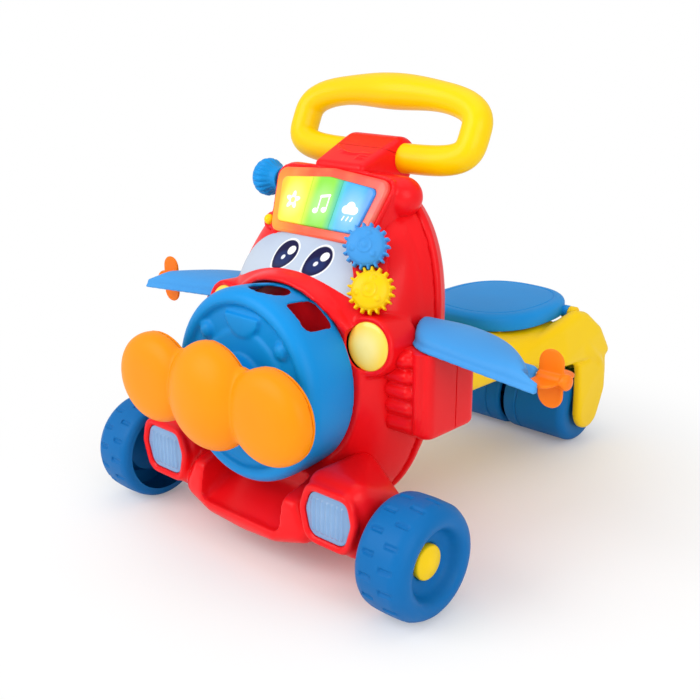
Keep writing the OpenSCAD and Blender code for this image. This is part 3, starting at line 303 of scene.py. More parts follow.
def lathe(profile, steps=96):  # (r, z) points; starts and ends on the axis, or closes on itself
    angles = turns(steps)
    ring = profile[0][0] > 1e-6
    verts, rows, faces = [], [], []
    for r, z in profile:
        if r < 1e-6:
            rows.append([len(verts)] * steps)
            verts.append((0, 0, z))
        else:
            rows.append(list(range(len(verts), len(verts) + steps)))
            verts += [(r * math.cos(a), r * math.sin(a), z) for a in angles]
    for a, b in zip(rows, rows[1:] + (rows[:1] if ring else [])):
        for i in range(steps):
            k = (i + 1) % steps
            face = tuple(dict.fromkeys((a[i], a[k], b[k], b[i])))
            if len(face) > 2:
                faces.append(face)
    return np.array(verts, float), faces


def rod(r, low, high, steps=32):
    return lathe([(0, low), (r, low), (r, high), (0, high)], steps)


def tube(path, radius, sides=20, loop=False):  # round section; one radius, or one a point
    path = np.asarray(path, float)
    radius = np.broadcast_to(np.asarray(radius, float), (len(path),))
    along = np.roll(path, -1, 0) - np.roll(path, 1, 0) if loop else np.gradient(path, axis=0)
    along /= np.linalg.norm(along, axis=1)[:, None]
    side = np.cross(along[0], (0.31, 0.52, 0.79))  # any way that isn't along the path
    rings = []
    angles = turns(sides)
    for point, way, r in zip(path, along, radius):
        side = side - way * side.dot(way)
        side /= np.linalg.norm(side)
        up = np.cross(way, side)
        rings.append(point + r * (np.outer(np.cos(angles), side) + np.outer(np.sin(angles), up)))
    if loop:  # untwist: turn the rings so that the last meets the first
        last = rings[-1]
        best = min(range(sides), key=lambda k: np.abs(np.roll(last, -k, 0) - rings[0]).sum())
        n = len(rings)
        twist = best if best <= sides // 2 else best - sides
        for j in range(n):
            a = angles + twist * 2 * np.pi / sides * j / n
            side = rings[j][0] - path[j]
            side /= np.linalg.norm(side)
            up = np.cross(along[j], side)
            rings[j] = path[j] + radius[j] * (np.outer(np.cos(a), side) + np.outer(np.sin(a), up))
    return loft(rings, loop)


def pill(a, b, r, sides=20):  # tube with round ends
    a, b = np.asarray(a, float), np.asarray(b, float)
    way = (b - a) / np.linalg.norm(b - a)
    turn = quarter(8)
    path = [a - way * r * math.cos(t) for t in turn] + [b + way * r * math.sin(t) for t in turn]
    size = [max(r * math.sin(t), 0.02) for t in turn] + [max(r * math.cos(t), 0.02) for t in turn]
    return tube(path, size, sides)


def ball(centre, size, steps=28):
    size = np.broadcast_to(np.asarray(size, float), (3,))
    bows = np.linspace(-np.pi / 2, np.pi / 2, steps // 2 + 1)
    verts, faces = lathe([(max(math.cos(a), 0) if abs(a) < 1.57 else 0, math.sin(a)) for a in bows], steps)
    return verts * size + np.asarray(centre, float), faces


def spherePoints(centre, r):
    return ball(centre, r, 14)[0]


def slab(outline, low, high):
    outline = np.asarray(outline, float)
    return loft([flat(outline, z) for z in (low, high)])


def softSlab(outlineAt, low, high, bevel):  # plate with rounded top edges
    rows = [(0, low), (0, high - bevel)]
    rows += [(bevel * (1 - math.cos(a)), high - bevel + bevel * math.sin(a))
             for a in np.linspace(0.3, math.pi / 2, 5)]
    return loft([flat(outlineAt(i), z) for i, z in rows])


def merge(*solids):
    verts, faces, count = [], [], 0
    for v, f in solids:
        verts.append(v)
        faces += [tuple(i + count for i in face) for face in f]
        count += len(v)
    return np.concatenate(verts), faces


def moved(solid, matrix):
    m = np.array(matrix)
    return solid[0] @ m[:3, :3].T + m[:3, 3], solid[1]


def mirrored(solid):
    return solid[0] * (-1, 1, 1), [tuple(reversed(face)) for face in solid[1]]


def bothSides(solid):
    return [solid, mirrored(solid)]


def shrunk(verts, less):  # drawn in towards the z axis
    return verts * np.column_stack([less, less, np.ones(len(verts))])


def hull(clouds):  # convex hull of lists of points
    mesh = bmesh.new()
    for p in np.concatenate(clouds):
        mesh.verts.new(p)
    bmesh.ops.convex_hull(mesh, input=mesh.verts)
    bmesh.ops.delete(mesh, geom=[v for v in mesh.verts if not v.link_faces], context="VERTS")
    mesh.verts.index_update()
    solid = np.array([v.co[:] for v in mesh.verts]), [tuple(v.index for v in f.verts) for f in mesh.faces]
    mesh.free()
    return solid


def rounded(corners, r, steps=8):
    corners = [np.asarray(c, float) for c in corners]
    points = []
    for i, at in enumerate(corners):
        a = corners[i - 1] - at
        b = corners[(i + 1) % len(corners)] - at
        a, b = a / np.linalg.norm(a), b / np.linalg.norm(b)
        half = math.acos(np.clip(a @ b, -1, 1)) / 2
        middle = at + (a + b) / np.linalg.norm(a + b) * r / math.sin(half)
        start = at + a * r / math.tan(half) - middle
        way = -1 if a[0] * b[1] - a[1] * b[0] > 0 else 1
        for k in range(steps + 1):
            t = way * (math.pi - 2 * half) * k / steps
            points.append(middle + (start[0] * math.cos(t) - start[1] * math.sin(t),
                                    start[0] * math.sin(t) + start[1] * math.cos(t)))
    return np.array(points)


def spread(points, count):  # even steps round a closed line of points
    points = np.asarray(points, float)
    points = np.vstack([points, points[:1]])
    run = np.concatenate([[0], np.cumsum(np.linalg.norm(np.diff(points, axis=0), axis=1))])
    want = np.linspace(0, run[-1], count, endpoint=False)
    return np.column_stack([np.interp(want, run, points[:, k]) for k in range(points.shape[1])])


def turned(x=0.0, y=0.0, z=0.0):  # degrees, about X then Y then Z
    r = math.radians
    return Matrix.Rotation(r(z), 4, "Z") @ Matrix.Rotation(r(y), 4, "Y") @ Matrix.Rotation(r(x), 4, "X")


def shift(x, y, z):
    return Matrix.Translation((x, y, z))


def across(x, y, z):  # a place whose own z axis runs along x
    return shift(x, y, z) @ turned(y=90)


# meshes and pieces
def inMetres(verts):
    return (np.asarray(verts) * 0.001 + (0, axleY, 0)).tolist()


def rough(name, solid):
    mesh = bpy.data.meshes.new(name)
    mesh.from_pydata(inMetres(solid[0]), [], solid[1])
    work = bmesh.new()
    work.from_mesh(mesh)
    bmesh.ops.recalc_face_normals(work, faces=work.faces)
    work.to_mesh(mesh)
    work.free()
    made = bpy.data.objects.new(name, mesh)
    bpy.context.collection.objects.link(made)
    return made


def settled(made, extras=()):  # applies the modifiers and gives back the solid in mm
    graph = bpy.context.evaluated_depsgraph_get()
    mesh = bpy.data.meshes.new_from_object(made.evaluated_get(graph))
    verts = np.empty(len(mesh.vertices) * 3)
    mesh.vertices.foreach_get("co", verts)
    verts = (verts.reshape(-1, 3) - (0, axleY, 0)) * 1000
    faces = [tuple(p.vertices) for p in mesh.polygons]
    bpy.data.meshes.remove(mesh)
    for gone in [made, *extras]:
        mesh = gone.data
        bpy.data.objects.remove(gone)
        bpy.data.meshes.remove(mesh)
    return verts, faces


def worked(made, way, solids):  # adds one boolean modifier a solid
    tools = []
    for solid in solids:
        tool = rough("tool", solid)
        change = made.modifiers.new(way.lower(), "BOOLEAN")
        change.operation = way
        change.solver = "MANIFOLD"
        change.object = tool
        tools.append(tool)
    return tools


def carve(solid, cuts=(), adds=(), within=()):  # crisp joins, then crisp cuts
    made = rough("blank", solid)
    tools = worked(made, "UNION", adds) + worked(made, "INTERSECT", within)
    tools += worked(made, "DIFFERENCE", cuts)
    return settled(made, tools)


def remesh(made, voxel):
    change = made.modifiers.new("join", "REMESH")
    change.mode = "VOXEL"
    change.voxel_size = voxel * 0.001


def fuse(solids, voxel, soften, cuts=(), hollow=()):  # soft joins and cuts, then crisp hollows
    made = rough("blank", merge(*solids))
    remesh(made, voxel)
    tools = worked(made, "DIFFERENCE", cuts)
    if cuts:
        remesh(made, voxel)
    relax = made.modifiers.new("soften", "SMOOTH")
    relax.factor = 0.5
    relax.iterations = soften
    tools += worked(made, "DIFFERENCE", hollow)
    return settled(made, tools)


sharpAngle = 38  # edges sharper than this stay crisp


def piece(name, solid, look, node, body="fuselage", origin=None):
    made = rough(name, solid)
    mesh = made.data
    mesh.polygons.foreach_set("use_smooth", [True] * len(mesh.polygons))
    mesh.set_sharp_from_angle(angle=math.radians(sharpAngle))
    if origin is not None:  # the piece's own origin, so that its finish can use distances from there
        at = Vector(inMetres([origin])[0])
        mesh.transform(Matrix.Translation(-at))
        made.location = at
    mesh.materials.append(finish[look])
    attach(made, body)
    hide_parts(node)


def pair(name, solid, look, node, body="fuselage", origin=None):  # a right piece and its mirror image
    for side, made, sign in (("Right", solid, 1), ("Left", mirrored(solid), -1)):
        at = origin and (sign * origin[0], origin[1], origin[2])
        piece(name + side, made, look, node + "_" + side.lower(), body.format(side.lower()), at)


# fuselage
fuselage = {"noseY": 30, "noseZ": 176, "noseR": 96, "rimR": 92, "collar": 5, "browH": 8, "tilt": 2,
            "seamY": 108, "halfW": 120, "top": 368, "bottom": 28, "midZ": 200, "lean": 0.12,
            "rearDepth": 48, "taper": 42, "wall": 3, "sides": 128, "full": 0.8, "screwX": 45.2,
            "screwZ": (120, 304), "doorZ": 250, "door": (40, 36),
            "bead": ((0, 0.4), (0.6, 1.6), (1.6, 2.3), (3, 2.6), (5, 2.6), (6.4, 2.2), (7.4, 1.2),
                     (8.2, 0.3), (9.5, 0)),
            "backEdge": ((0.95, -0.2, 0), (0.985, -0.8, 0), (1.0, -2.4, 0), (1.0, -5, 0.4))}


def skin(t, angle, grow=0.0):  # a point on the front half, t 0 at the nose and 1 at the seam
    f = fuselage
    full = f["full"] * np.sin(np.pi * np.clip(np.asarray(t, float) / 0.8, 0, 1))  # squarer forehead
    power = mix(2, 2.5, t) + np.where(np.sin(angle) > 0, full, 0)
    half = mix(f["rimR"] + f["collar"], f["halfW"], ease(t))
    mid = mix(f["noseZ"], f["midZ"], ease(t))
    top = mix(f["noseZ"] + f["noseR"] + f["browH"], f["top"], smooth(t))
    low = mix(f["noseZ"] - f["rimR"] - f["collar"], f["bottom"], ease(t))
    c, d = curve(np.cos(angle), power), curve(np.sin(angle), power)
    z = mid + d * (grow + np.where(d > 0, top - mid, mid - low))
    slant = mix(math.tan(math.radians(f["tilt"])), f["lean"], smooth(1.6 * t))
    y = mix(f["noseY"], f["seamY"], t) + slant * (z - f["noseZ"])
    return np.stack(np.broadcast_arrays(c * (half + grow), y, z), -1)


def backSkin(t, angle, grow=0.0, ahead=0.0):  # the rear half, t 0 at the seam and 1 at the back
    f = fuselage
    less = f["taper"] * t ** 2.5
    c, d = curve(np.cos(angle), 2.5), curve(np.sin(angle), 2.5)
    z = f["midZ"] + d * (grow - less + np.where(d > 0, f["top"] - f["midZ"], f["midZ"] - f["bottom"]))
    y = f["seamY"] + f["rearDepth"] * t + ahead + f["lean"] * (z - f["noseZ"])
    return np.stack(np.broadcast_arrays(c * (f["halfW"] - less + grow), y, z), -1)


around = turns(fuselage["sides"])
wholeBody = loft([skin(t, around, 0.1) for t in np.linspace(0, 1, 14)]
                 + [backSkin(t, around, 0.1) for t in np.linspace(0.2, 1, 6)])
atNose = shift(0, fuselage["noseY"], fuselage["noseZ"]) @ turned(x=90 - fuselage["tilt"])

cheek = {"at": (99, 50, 223), "yaw": 4, "pitch": 5, "r": 23.4, "rimR": 26.2, "tube": 2.9, "front": 13,
         "depth": 28}
atCheek = shift(*cheek["at"]) @ turned(x=90 - cheek["pitch"], z=cheek["yaw"])
cheekRoom = moved(rod(30, -30, 16, 64), atCheek)  # wings and pods keep clear of the cheek lamp


def cheekRim():
    c = cheek
    out = c["rimR"] + c["tube"]
    lip = arc(c["rimR"], c["front"] - c["tube"], c["tube"], c["tube"], np.linspace(0, np.pi, 13))
    foot = [(0, -c["depth"]), (out + 2, -c["depth"]), (out + 0.6, 0)]
    return lathe(foot + lip + [(c["r"], 9), (0, 9)], 72)


brow = {"reach": 15, "spread": 60, "inner": 95.4, "outer": 104.2}


def browRoll():  # lip that tapers over the drum and runs out at its sides
    angles = np.radians(np.linspace(90 - brow["spread"], 90 + brow["spread"], 81))
    fade = np.maximum(np.cos((angles - np.pi / 2) * 90 / brow["spread"]), 0)
    low, high = brow["inner"], brow["outer"]
    rings = []
    for a, k in zip(angles, fade):
        h = -3 + (brow["reach"] + 3) * k ** 0.6
        section = [(low, -6), (high, -6), (high, -1), (mix(low, high, 0.82), h * 0.45),
                   (mix(low, high, 0.62), h * 0.78), (mix(low, high, 0.42), h - 0.6),
                   (mix(low, high, 0.22), h), (low, h - 1)]
        rings.append([(r * math.cos(a), r * math.sin(a), z) for r, z in section])
    return moved(loft(rings), atNose)


panel = {"topW": 146, "bottomW": 118, "h": 61, "z": 308, "y": 75, "tilt": 26, "rim": 7, "bow": 6}
atPanel = shift(0, panel["y"], panel["z"]) @ turned(x=90 - panel["tilt"])


def panelHalf(v):
    return mix(panel["bottomW"], panel["topW"], v / panel["h"]) / 2


def panelOutline(inset, r):
    h = panel["h"]
    low, high = panelHalf(inset) - inset, panelHalf(h - inset) - inset
    return rounded([(-low, inset), (low, inset), (high, h - inset), (0, h + panel["bow"] - inset),
                    (-high, h - inset)], r)


def panelSlab(inset, r, low, high):
    return moved(slab(panelOutline(inset, r), low, high), atPanel)


panelPocket = panelSlab(2, 8, -26, 30)


def onBack(x, z):  # a place on the rear face
    f = fuselage
    y = f["seamY"] + f["rearDepth"] + f["lean"] * (z - f["noseZ"])
    return shift(x, y, z) @ turned(x=-90 - math.degrees(math.atan(f["lean"])))


def buildShells():
    f = fuselage
    outer = loft([skin(t, around) for t in np.linspace(0, 1, 44)])
    inner = loft([skin(t, around, -f["wall"]) + (0, 3, 0) for t in np.linspace(0, 0.97, 24)]
                 + [skin(np.float64(1), around, -f["wall"]) + (0, 6, 0)])
    bores = bothSides(moved(rod(cheek["r"], -60, 30, 64), atCheek))
    pinBore = moved(rod(5, -12, 12), atNose)
    shell = fuse([outer, *bothSides(moved(cheekRim(), atCheek)), browRoll()], 2.0, 7,
                 hollow=[inner, *bores, pinBore, panelPocket])
    piece("frontShell", shell, "redShell", "front_shell")
    outer = loft([backSkin(0, around, g, a) for a, g in f["bead"]]
                 + [backSkin(t, around) for t in np.linspace(0.24, 0.9, 14)]
                 + [backSkin(t, around, g, a) for t, g, a in f["backEdge"]])
    inner = loft([backSkin(0, around, -f["wall"], -1)]
                 + [backSkin(t, around, -f["wall"], -3) for t in np.linspace(0.1, 1, 10)])
    w, h = f["door"]
    window = moved(slab(rect(-w, -h, w, h), -9, 9), onBack(0, f["doorZ"]))
    holes = [moved(rod(3.6, -6, 6), onBack(s * f["screwX"], z)) for z in f["screwZ"] for s in (-1, 1)]
    piece("rearShell", carve(outer, [inner, window, *holes]), "redShell", "rear_shell")


screen = {"low": 0.055, "ends": 0.17, "high": 0.385, "half": 54, "thick": 0.9}


def buildWindscreen():
    angles = turns(160)
    u, v = curve(np.cos(angles), 4), curve(np.sin(angles), 3)

    def row(k, grow):
        side = np.radians(90 - screen["half"] * u * k)
        low = mix(screen["low"], screen["ends"], (u * k) ** 2)
        return skin(mix(low, screen["high"], (v * k + 1) / 2), side, grow)

    rows = [row(k, -0.6) for k in np.linspace(0.03, 1.0, 16)] + [row(1.0, 0.35), row(0.992, 0.75)]
    rows += [row(k, screen["thick"]) for k in np.linspace(0.97, 0.03, 24)]
    piece("windscreen", loft(rows), "eyedScreen", "windscreen")


eyes = {"x": 22.5, "z": 290.5, "w": 14.4, "h": 12.0, "line": 1.6, "soft": 0.6}


def screenFinish():  # pale strip with two plain oval eyes, laid out seen from the front
    material, pen, shader = startFinish("eyedScreen")
    place = pen.place()
    x, z = place.axis(0) * 1000, place.axis(2) * 1000
    cloud, grain = place.noise(14.0, 3.0), place.noise(900.0, 2.0)
    base = cloud.step(0.3, 0.7).tint(colour("#a9b8d0"), colour("#b7c5da"))
    base = z.step(272, 312).tint(colour("#c0ccdc"), base)
    w, h, line, soft = (eyes[key] for key in ("w", "h", "line", "soft"))
    for s in (-1, 1):
        cx, cz = s * eyes["x"], eyes["z"]
        base = oval(x, z, cx, cz, w + line, h + line, soft).tint(base, colour("#f4f6fa"))
        base = oval(x, z, cx, cz, w, h, soft).tint(base, colour("#120f40"))
        base = (oval(x, z, cx, cz - 3.2, w * 0.72, h * 0.5, 3.0) * 0.25).tint(base, colour("#2b4f96"))
        base = oval(x, z, cx + 4.8, cz + 4.0, 4.8, 3.6, soft).tint(base, white)
        base = oval(x, z, cx - 0.6, cz - 2.4, 2.4, 1.8, soft).tint(base, colour("#e8eefa"))
    feed(pen, shader, Base_Color=base, Roughness=0.24 + (cloud - 0.5) * 0.1,
         Normal=grain.bump(0.05, 0.0004), Specular_IOR_Level=0.16, Coat_Weight=0.04, Coat_Roughness=0.1)
    return material


finish["eyedScreen"] = screenFinish()

# nose drum and propeller
nose = {"flat": 48, "faceR": 85, "faceZ": 57, "hubZ": 84, "hubR": 31, "under": 54, "bore": 4,
        "face": ((78.6, 57.3), (77.4, 57), (58, 57), (56.6, 57.5), (55.6, 58.7), (54, 59.4), (35, 59.4),
                 (32.6, 60.2), (31.2, 62))}


def noseSide(a, less=0.0):  # a point of the drum's slightly bowed side
    return fuselage["rimR"] + 4 * math.sin(a) - less, nose["flat"] * a / (math.pi / 2)


def noseOuter():
    n, f = nose, fuselage
    points = [(f["rimR"] - 1, 0), (f["rimR"], 0.8)]
    points += [noseSide(a) for a in np.linspace(0.1, math.pi / 2, 9)]
    points += arc(n["faceR"], n["flat"], 11, 15, np.radians(np.linspace(4, 90, 20)))
    points += [(n["faceR"] - 6 * math.sin(a), n["faceZ"] + 6 * math.cos(a))
               for a in np.linspace(0.2, 1.4, 8)]
    points += [*n["face"], (n["hubR"], 65), (n["hubR"], 81), (30.2, 83), (28.4, n["hubZ"]),
               (n["bore"], n["hubZ"])]
    return points


def buildNose():
    n, f = nose, fuselage
    inside = [noseSide(a, 3) for a in quarter(7)]
    inside += arc(n["faceR"], n["flat"], 8, 12, np.radians((8, 16, 24)))
    hub = [(n["bore"], 0.2), (8, 0.2), (8, n["hubZ"] - 3), (28, n["hubZ"] - 3), (28, n["under"]),
           (n["faceR"], n["under"])]
    drum = lathe(noseOuter() + hub + inside[::-1], 160)
    bumps = [ball((s * 52, 46, n["faceZ"] - 0.5), (9, 9, 7)) for s in (-1, 1)]
    moon = arc(0, 70, 23, -20, np.linspace(0, math.pi, 33))
    bumps.append(slab(moon, n["faceZ"] - 1, n["faceZ"] + 4.4))

    def hole(angle, at, outline):
        lay = turned(z=angle) @ shift(0, f["noseR"] / 2, at) @ turned(x=-90)
        return moved(slab(outline, 0, f["noseR"]), atNose @ lay)

    cuts = [hole(-5, 31, arc(0, 0, 20, 20, turns(48))), hole(-36, 24, rounded(rect(-18, -19, 18, 19), 7)),
            hole(36, 26, rounded([(-25, -15), (25, -15), (0, 22)], 5)),
            hole(180, 31.5, rounded(rect(-36, -16, 36, 16), 6))]  # sorter openings, and the way out below
    solid = fuse([moved(s, atNose) for s in [drum, *bumps]], 1.5, 3, cuts=cuts)
    piece("noseDrum", solid, "blueBody", "nose_cone")


lobes = {"z": 94, "rise": 23, "reach": 80, "half": 50, "tall": 45, "hubR": 53, "hubRise": 32, "waistR": 37,
         "waistRise": 18, "power": 2.2, "sidePower": 2.9}


def dome(wide, tall, rise, power):
    bow = [(math.cos(a) ** (2 / power), math.sin(a) ** (2 / power)) for a in quarter(22)[:-1]]
    verts, faces = lathe([(0, 0)] + bow + [(0, 1)], 72)
    return verts * (wide, tall, rise), faces


def lobeDomes(less=0.0, rise=None):
    o = lobes
    shapes = [(0, o["hubR"], o["hubR"], o["hubRise"], o["power"])]
    for s in (-1, 1):
        shapes.append((s * o["reach"], o["half"], o["tall"], o["rise"], o["sidePower"]))
        shapes.append((s * o["reach"] / 2, o["waistR"], o["waistR"], o["waistRise"], o["power"]))
    return [moved(dome(w - less, t - less, rise or high - less, power), shift(x, 0, 0))
            for x, w, t, high, power in shapes]


def buildPropeller():
    base = atNose @ shift(0, 0, lobes["z"])
    hollow = [moved(p, base @ shift(0, 0, -0.3)) for p in lobeDomes(3.0)]
    front = fuse([moved(p, base) for p in lobeDomes()], 1.6, 4, hollow=hollow)
    piece("propellerFront", front, "orangeSatin", "main_propeller", "propeller")
    back = [moved(p, base @ shift(0, 0, -0.2) @ turned(x=180)) for p in lobeDomes(rise=8)]
    hub = moved(lathe([(4.06, 84.4), (12.8, 84.4), (12.8, 97), (4.06, 97)], 64), atNose)
    back = carve(fuse(back, 1.6, 3), [moved(rod(4.06, 60, 120, 48), atNose)], adds=[hub])
    piece("propellerRear", back, "orangeSatin", "propeller_back", "propeller")


# lamps
headlamp = {"w": 58, "h": 46, "at": (118, -34, 81), "round": 12, "ribs": 6.2, "count": 160}
atHeadlamp = shift(*headlamp["at"]) @ turned(x=90)


def headlampOutline(grow):
    w, h = headlamp["w"] / 2 + grow, headlamp["h"] / 2 + grow
    corners = [(-0.78, -1), (0.72, -1), (1, 0.1), (0.82, 1), (-0.74, 1), (-1, 0.1)]
    return rounded([(w * x, h * y) for x, y in corners], headlamp["round"])


def headlampLens():
    edge = spread(headlampOutline(-0.3), headlamp["count"])
    rows = [flat(edge, z) for z in (-4, 0.0)]
    for k in np.concatenate([[0.985, 0.96], np.linspace(0.93, 0.03, 38)]):
        line = edge * k
        level = smooth(np.array((0.9 - k) / 0.08))
        wave = (0.5 + 0.5 * np.cos(line[:, 0] * 2 * math.pi / headlamp["ribs"])) ** 0.8
        reach = smooth((24 - np.abs(line[:, 0])) / 3) * smooth((18 - np.abs(line[:, 1])) / 3)
        lift = 0.9 + 1.2 * (1 - k ** 4) + 1.5 * wave * level * reach
        rows.append(np.column_stack([line, lift]) if k < 0.97 else flat(line, 0.9))
    return loft(rows)


def cheekLens():
    r = cheek["r"] - 0.1
    return lathe([(0, -6), (r, -6), (r, 10.6)] + arc(0, 10.8, r, 3.4, quarter(18)[:-1]) + [(0, 14.2)], 72)


def buildLamps():
    pair("headlamp", moved(headlampLens(), atHeadlamp), "headlampLens", "headlamp", origin=headlamp["at"])
    front = atCheek @ Vector((0, 0, cheek["front"]))
    pair("cheekLamp", moved(cheekLens(), atCheek), "cheekLens", "cheek_lamp", origin=tuple(front))


# lower bumper with its tray
# each point of the scoop is an inset and a place along x
bumper = {"voxel": 1.9, "arm": 163, "axleZ": 56, "podR": 16,
          "pod": ((86, 26, 46), (146, 22, 46), (92, 40, 98), (140, 20, 84)),
          "tray": (((76, -24, 52), 14), ((44, -28, 44), 14), ((68, -26, 74), 10), ((76, 30, 48), 14),
                   ((76, 30, 84), 14)), "keel": ((0, -26, 40), (0, 20, 42)),
          "scoop": ((9, -57), (4, -55.4), (1.2, -52), (0, -47), (0, 47), (1.2, 52), (4, 55.4), (9, 57))}


def scoopOutline(inset):
    return rounded([(-90, 46 + inset), (-34, 46 + inset), (8 - inset, 70 + inset * 0.6), (8 - inset, 140),
                    (-90, 140)], 13)


def loopTube(outline, count, r, sides, lay):  # bead round an outline
    return moved(tube(flat(spread(outline, count), 0.2), r, sides, loop=True), lay)


def buildBumper():
    b, h = bumper, headlamp
    midX, frontY, midZ = h["at"]
    points = [spherePoints((midX + dx * (h["w"] / 2 - 8 - 2 * dz), frontY + 16,
                            midZ + dz * (h["h"] / 2 - 1)), b["podR"])
              for dx in (-1, 1) for dz in (-1, 1)]
    points += [spherePoints(p, b["podR"]) for p in b["pod"]]
    points += [ringX(b["arm"] - less, r, 0, b["axleZ"], 32) for less, r in ((20, 18), (1.5, 18), (0, 16.5))]
    pod = hull(points)
    tray = hull([spherePoints((s * p[0], p[1], p[2]), r) for s in (-1, 1) for p, r in b["tray"]]
                + [spherePoints(p, 14) for p in b["keel"]])
    bezel = loopTube(headlampOutline(3.6), 120, 4.2, 16, atHeadlamp)
    side = Matrix(((0, 0, 1, 0), (1, 0, 0, 0), (0, 1, 0, 0), (0, 0, 0, 1)))  # (y, z) outlines run along x
    scoop = moved(loft([flat(scoopOutline(inset), x) for inset, x in b["scoop"]]), side)
    under = moved(slab([(-26, -5), (-26, 39), (4, 62), (60, 62), (60, -5)], -69, 69), side)
    recess = moved(slab(headlampOutline(0), -4, 12), atHeadlamp)
    axle = moved(rod(4, -230, 230), across(0, 0, b["axleZ"]))
    bowl = [(r + 0.5, z + 0.5) for r, z in noseOuter()[2:31]]  # the nose drum's room
    drum = lathe([(0, -2), (92.5, -2)] + bowl + [(0, 63.5)], 96)
    solid = fuse([*bothSides(pod), tray, *bothSides(bezel)], b["voxel"], 5, cuts=[scoop],
                 hollow=[wholeBody, moved(drum, atNose), under, *bothSides(recess), axle])
    piece("lowerBumper", solid, "redShell", "front_bumper")


# light panel
hood = {"earX": 72, "earY": 119, "earZ": 350, "earR": 20, "buttonX": -71, "buttonV": 8, "buttonR": 5.5}
atButton = atPanel @ shift(hood["buttonX"], hood["buttonV"], 0)
earAt = (hood["earX"], hood["earY"], hood["earZ"])
crossTube = pill((-earAt[0], earAt[1], earAt[2]), earAt, hood["earR"], 40)


def buildHood():
    points = [np.array([atPanel @ Vector((x, y, z)) for x, y in panelOutline(-6 + g, 10)])
              for z, g in ((-12, 0), (-3.5, 0), (-1, 0.8), (0, 2.2))]
    points += [spherePoints((s * 62, 118, 346), 16) for s in (-1, 1)]
    points += [spherePoints((s * 62, 108, 302), 12) for s in (-1, 1)]
    low = bothSides(pill((58, 104, 300), (70, 116, 318), 13))
    boss = moved(lathe([(0, -20), (10, -20), (10, -2), (9, -0.6), (7.6, 0), (0, 0)], 40), atButton)
    bore = moved(rod(5.8, -30, 20, 40), atButton)
    bezel = loopTube(panelOutline(-5.2, 11), 160, 2.2, 14, atPanel)
    pin = moved(rod(4.06, -60, 60), across(-92, hood["earY"], hood["earZ"]))
    solid = fuse([hull(points), crossTube, *low, boss, bezel], 1.7, 6,
                 hollow=[wholeBody, panelPocket, bore, pin])
    piece("panelHood", solid, "redShell", "panel_hood")


keys = {
    "key_yellow": {"colour": "#fcd80a", "left": "#fbb404", "right": "#c4dc10",
                   "star": {"points": 5, "reach": 7.2, "swing": 2.4, "core": 3.0}},
    "key_green": {"colour": "#78cc1c", "left": "#c0dc12", "right": "#2cb284",  # a note
                  "ovals": ((-5.2, -7, 3.6, 2.8), (5.6, -5, 3.6, 2.8)),
                  "bars": ((-2.4, -7, -2.4, 8, 0.8), (8.4, -5, 8.4, 10, 0.8), (-2.4, 8, 8.4, 10, 1.4))},
    "key_blue": {"colour": "#229fe6", "left": "#2cb6b0", "right": "#127fd6",  # a cloud with rain
                 "ovals": ((-5.5, -1, 4.6, 4.0), (0, 2, 5.6, 5.4), (6, -0.8, 4.4, 3.8)),
                 "bars": ((-6, -3.8, 6.5, -3.8, 1.2), (-5, -8, -6.5, -11.5, 0.7), (0.5, -8, -1, -11.5, 0.7),
                          (6, -8, 4.5, -11.5, 0.7))},
}


def buildPanel():
    outer = moved(softSlab(lambda i: panelOutline(-2.5 + i, 10), 0.3, 6, 2.6), atPanel)
    rim = carve(outer, [panelSlab(7, 6, -2, 14), panelSlab(4, 6, -2, 2)])
    piece("glowRim", rim, "glowRim", "panel_rim")
    inset, h = panel["rim"] + 0.4, panel["h"]
    below, above = -10, h + 20  # the dividing lines run past the panel
    low, high = (panelHalf(inset) - inset) * 2, (panelHalf(h - inset) - inset) * 2
    top = moved(softSlab(lambda i: panelOutline(inset + i, 6), -0.5, 8.5, 1.8), atPanel)
    foot = panelSlab(4.4, 6, -0.5, 1.5)
    for k, name in enumerate(keys):
        (a0, a1), (b0, b1) = ((-low / 2 + low * t, -high / 2 + high * t) for t in (k / 3, (k + 1) / 3))
        room = []
        if k > 0:
            room.append([(-200, below), (a0 + 0.2, below), (a1 + 0.2, above), (-200, above)])
        if k < 2:
            room.append([(b0 - 0.2, below), (200, below), (200, above), (b1 - 0.2, above)])
        cuts = [moved(slab(r, -10, 30), atPanel) for r in room]
        solid = carve(carve(top, cuts), adds=[carve(foot, cuts)])
        middle = atPanel @ Vector((mix(mix(a0, a1, 0.5), mix(b0, b1, 0.5), 0.5), h / 2, 8))
        piece(name.replace("_", ".") + ".cap", solid, name, name, name + "_press", middle)
    r = hood["buttonR"]
    button = lathe([(0, -9), (r, -9), (r, 0.8)] + arc(0, 1, r, 5.2, quarter(10)[:-1]) + [(0, 6.2)], 48)
    piece("sideButton", moved(button, atButton), "yellowGloss", "side_button", "side_button_press")


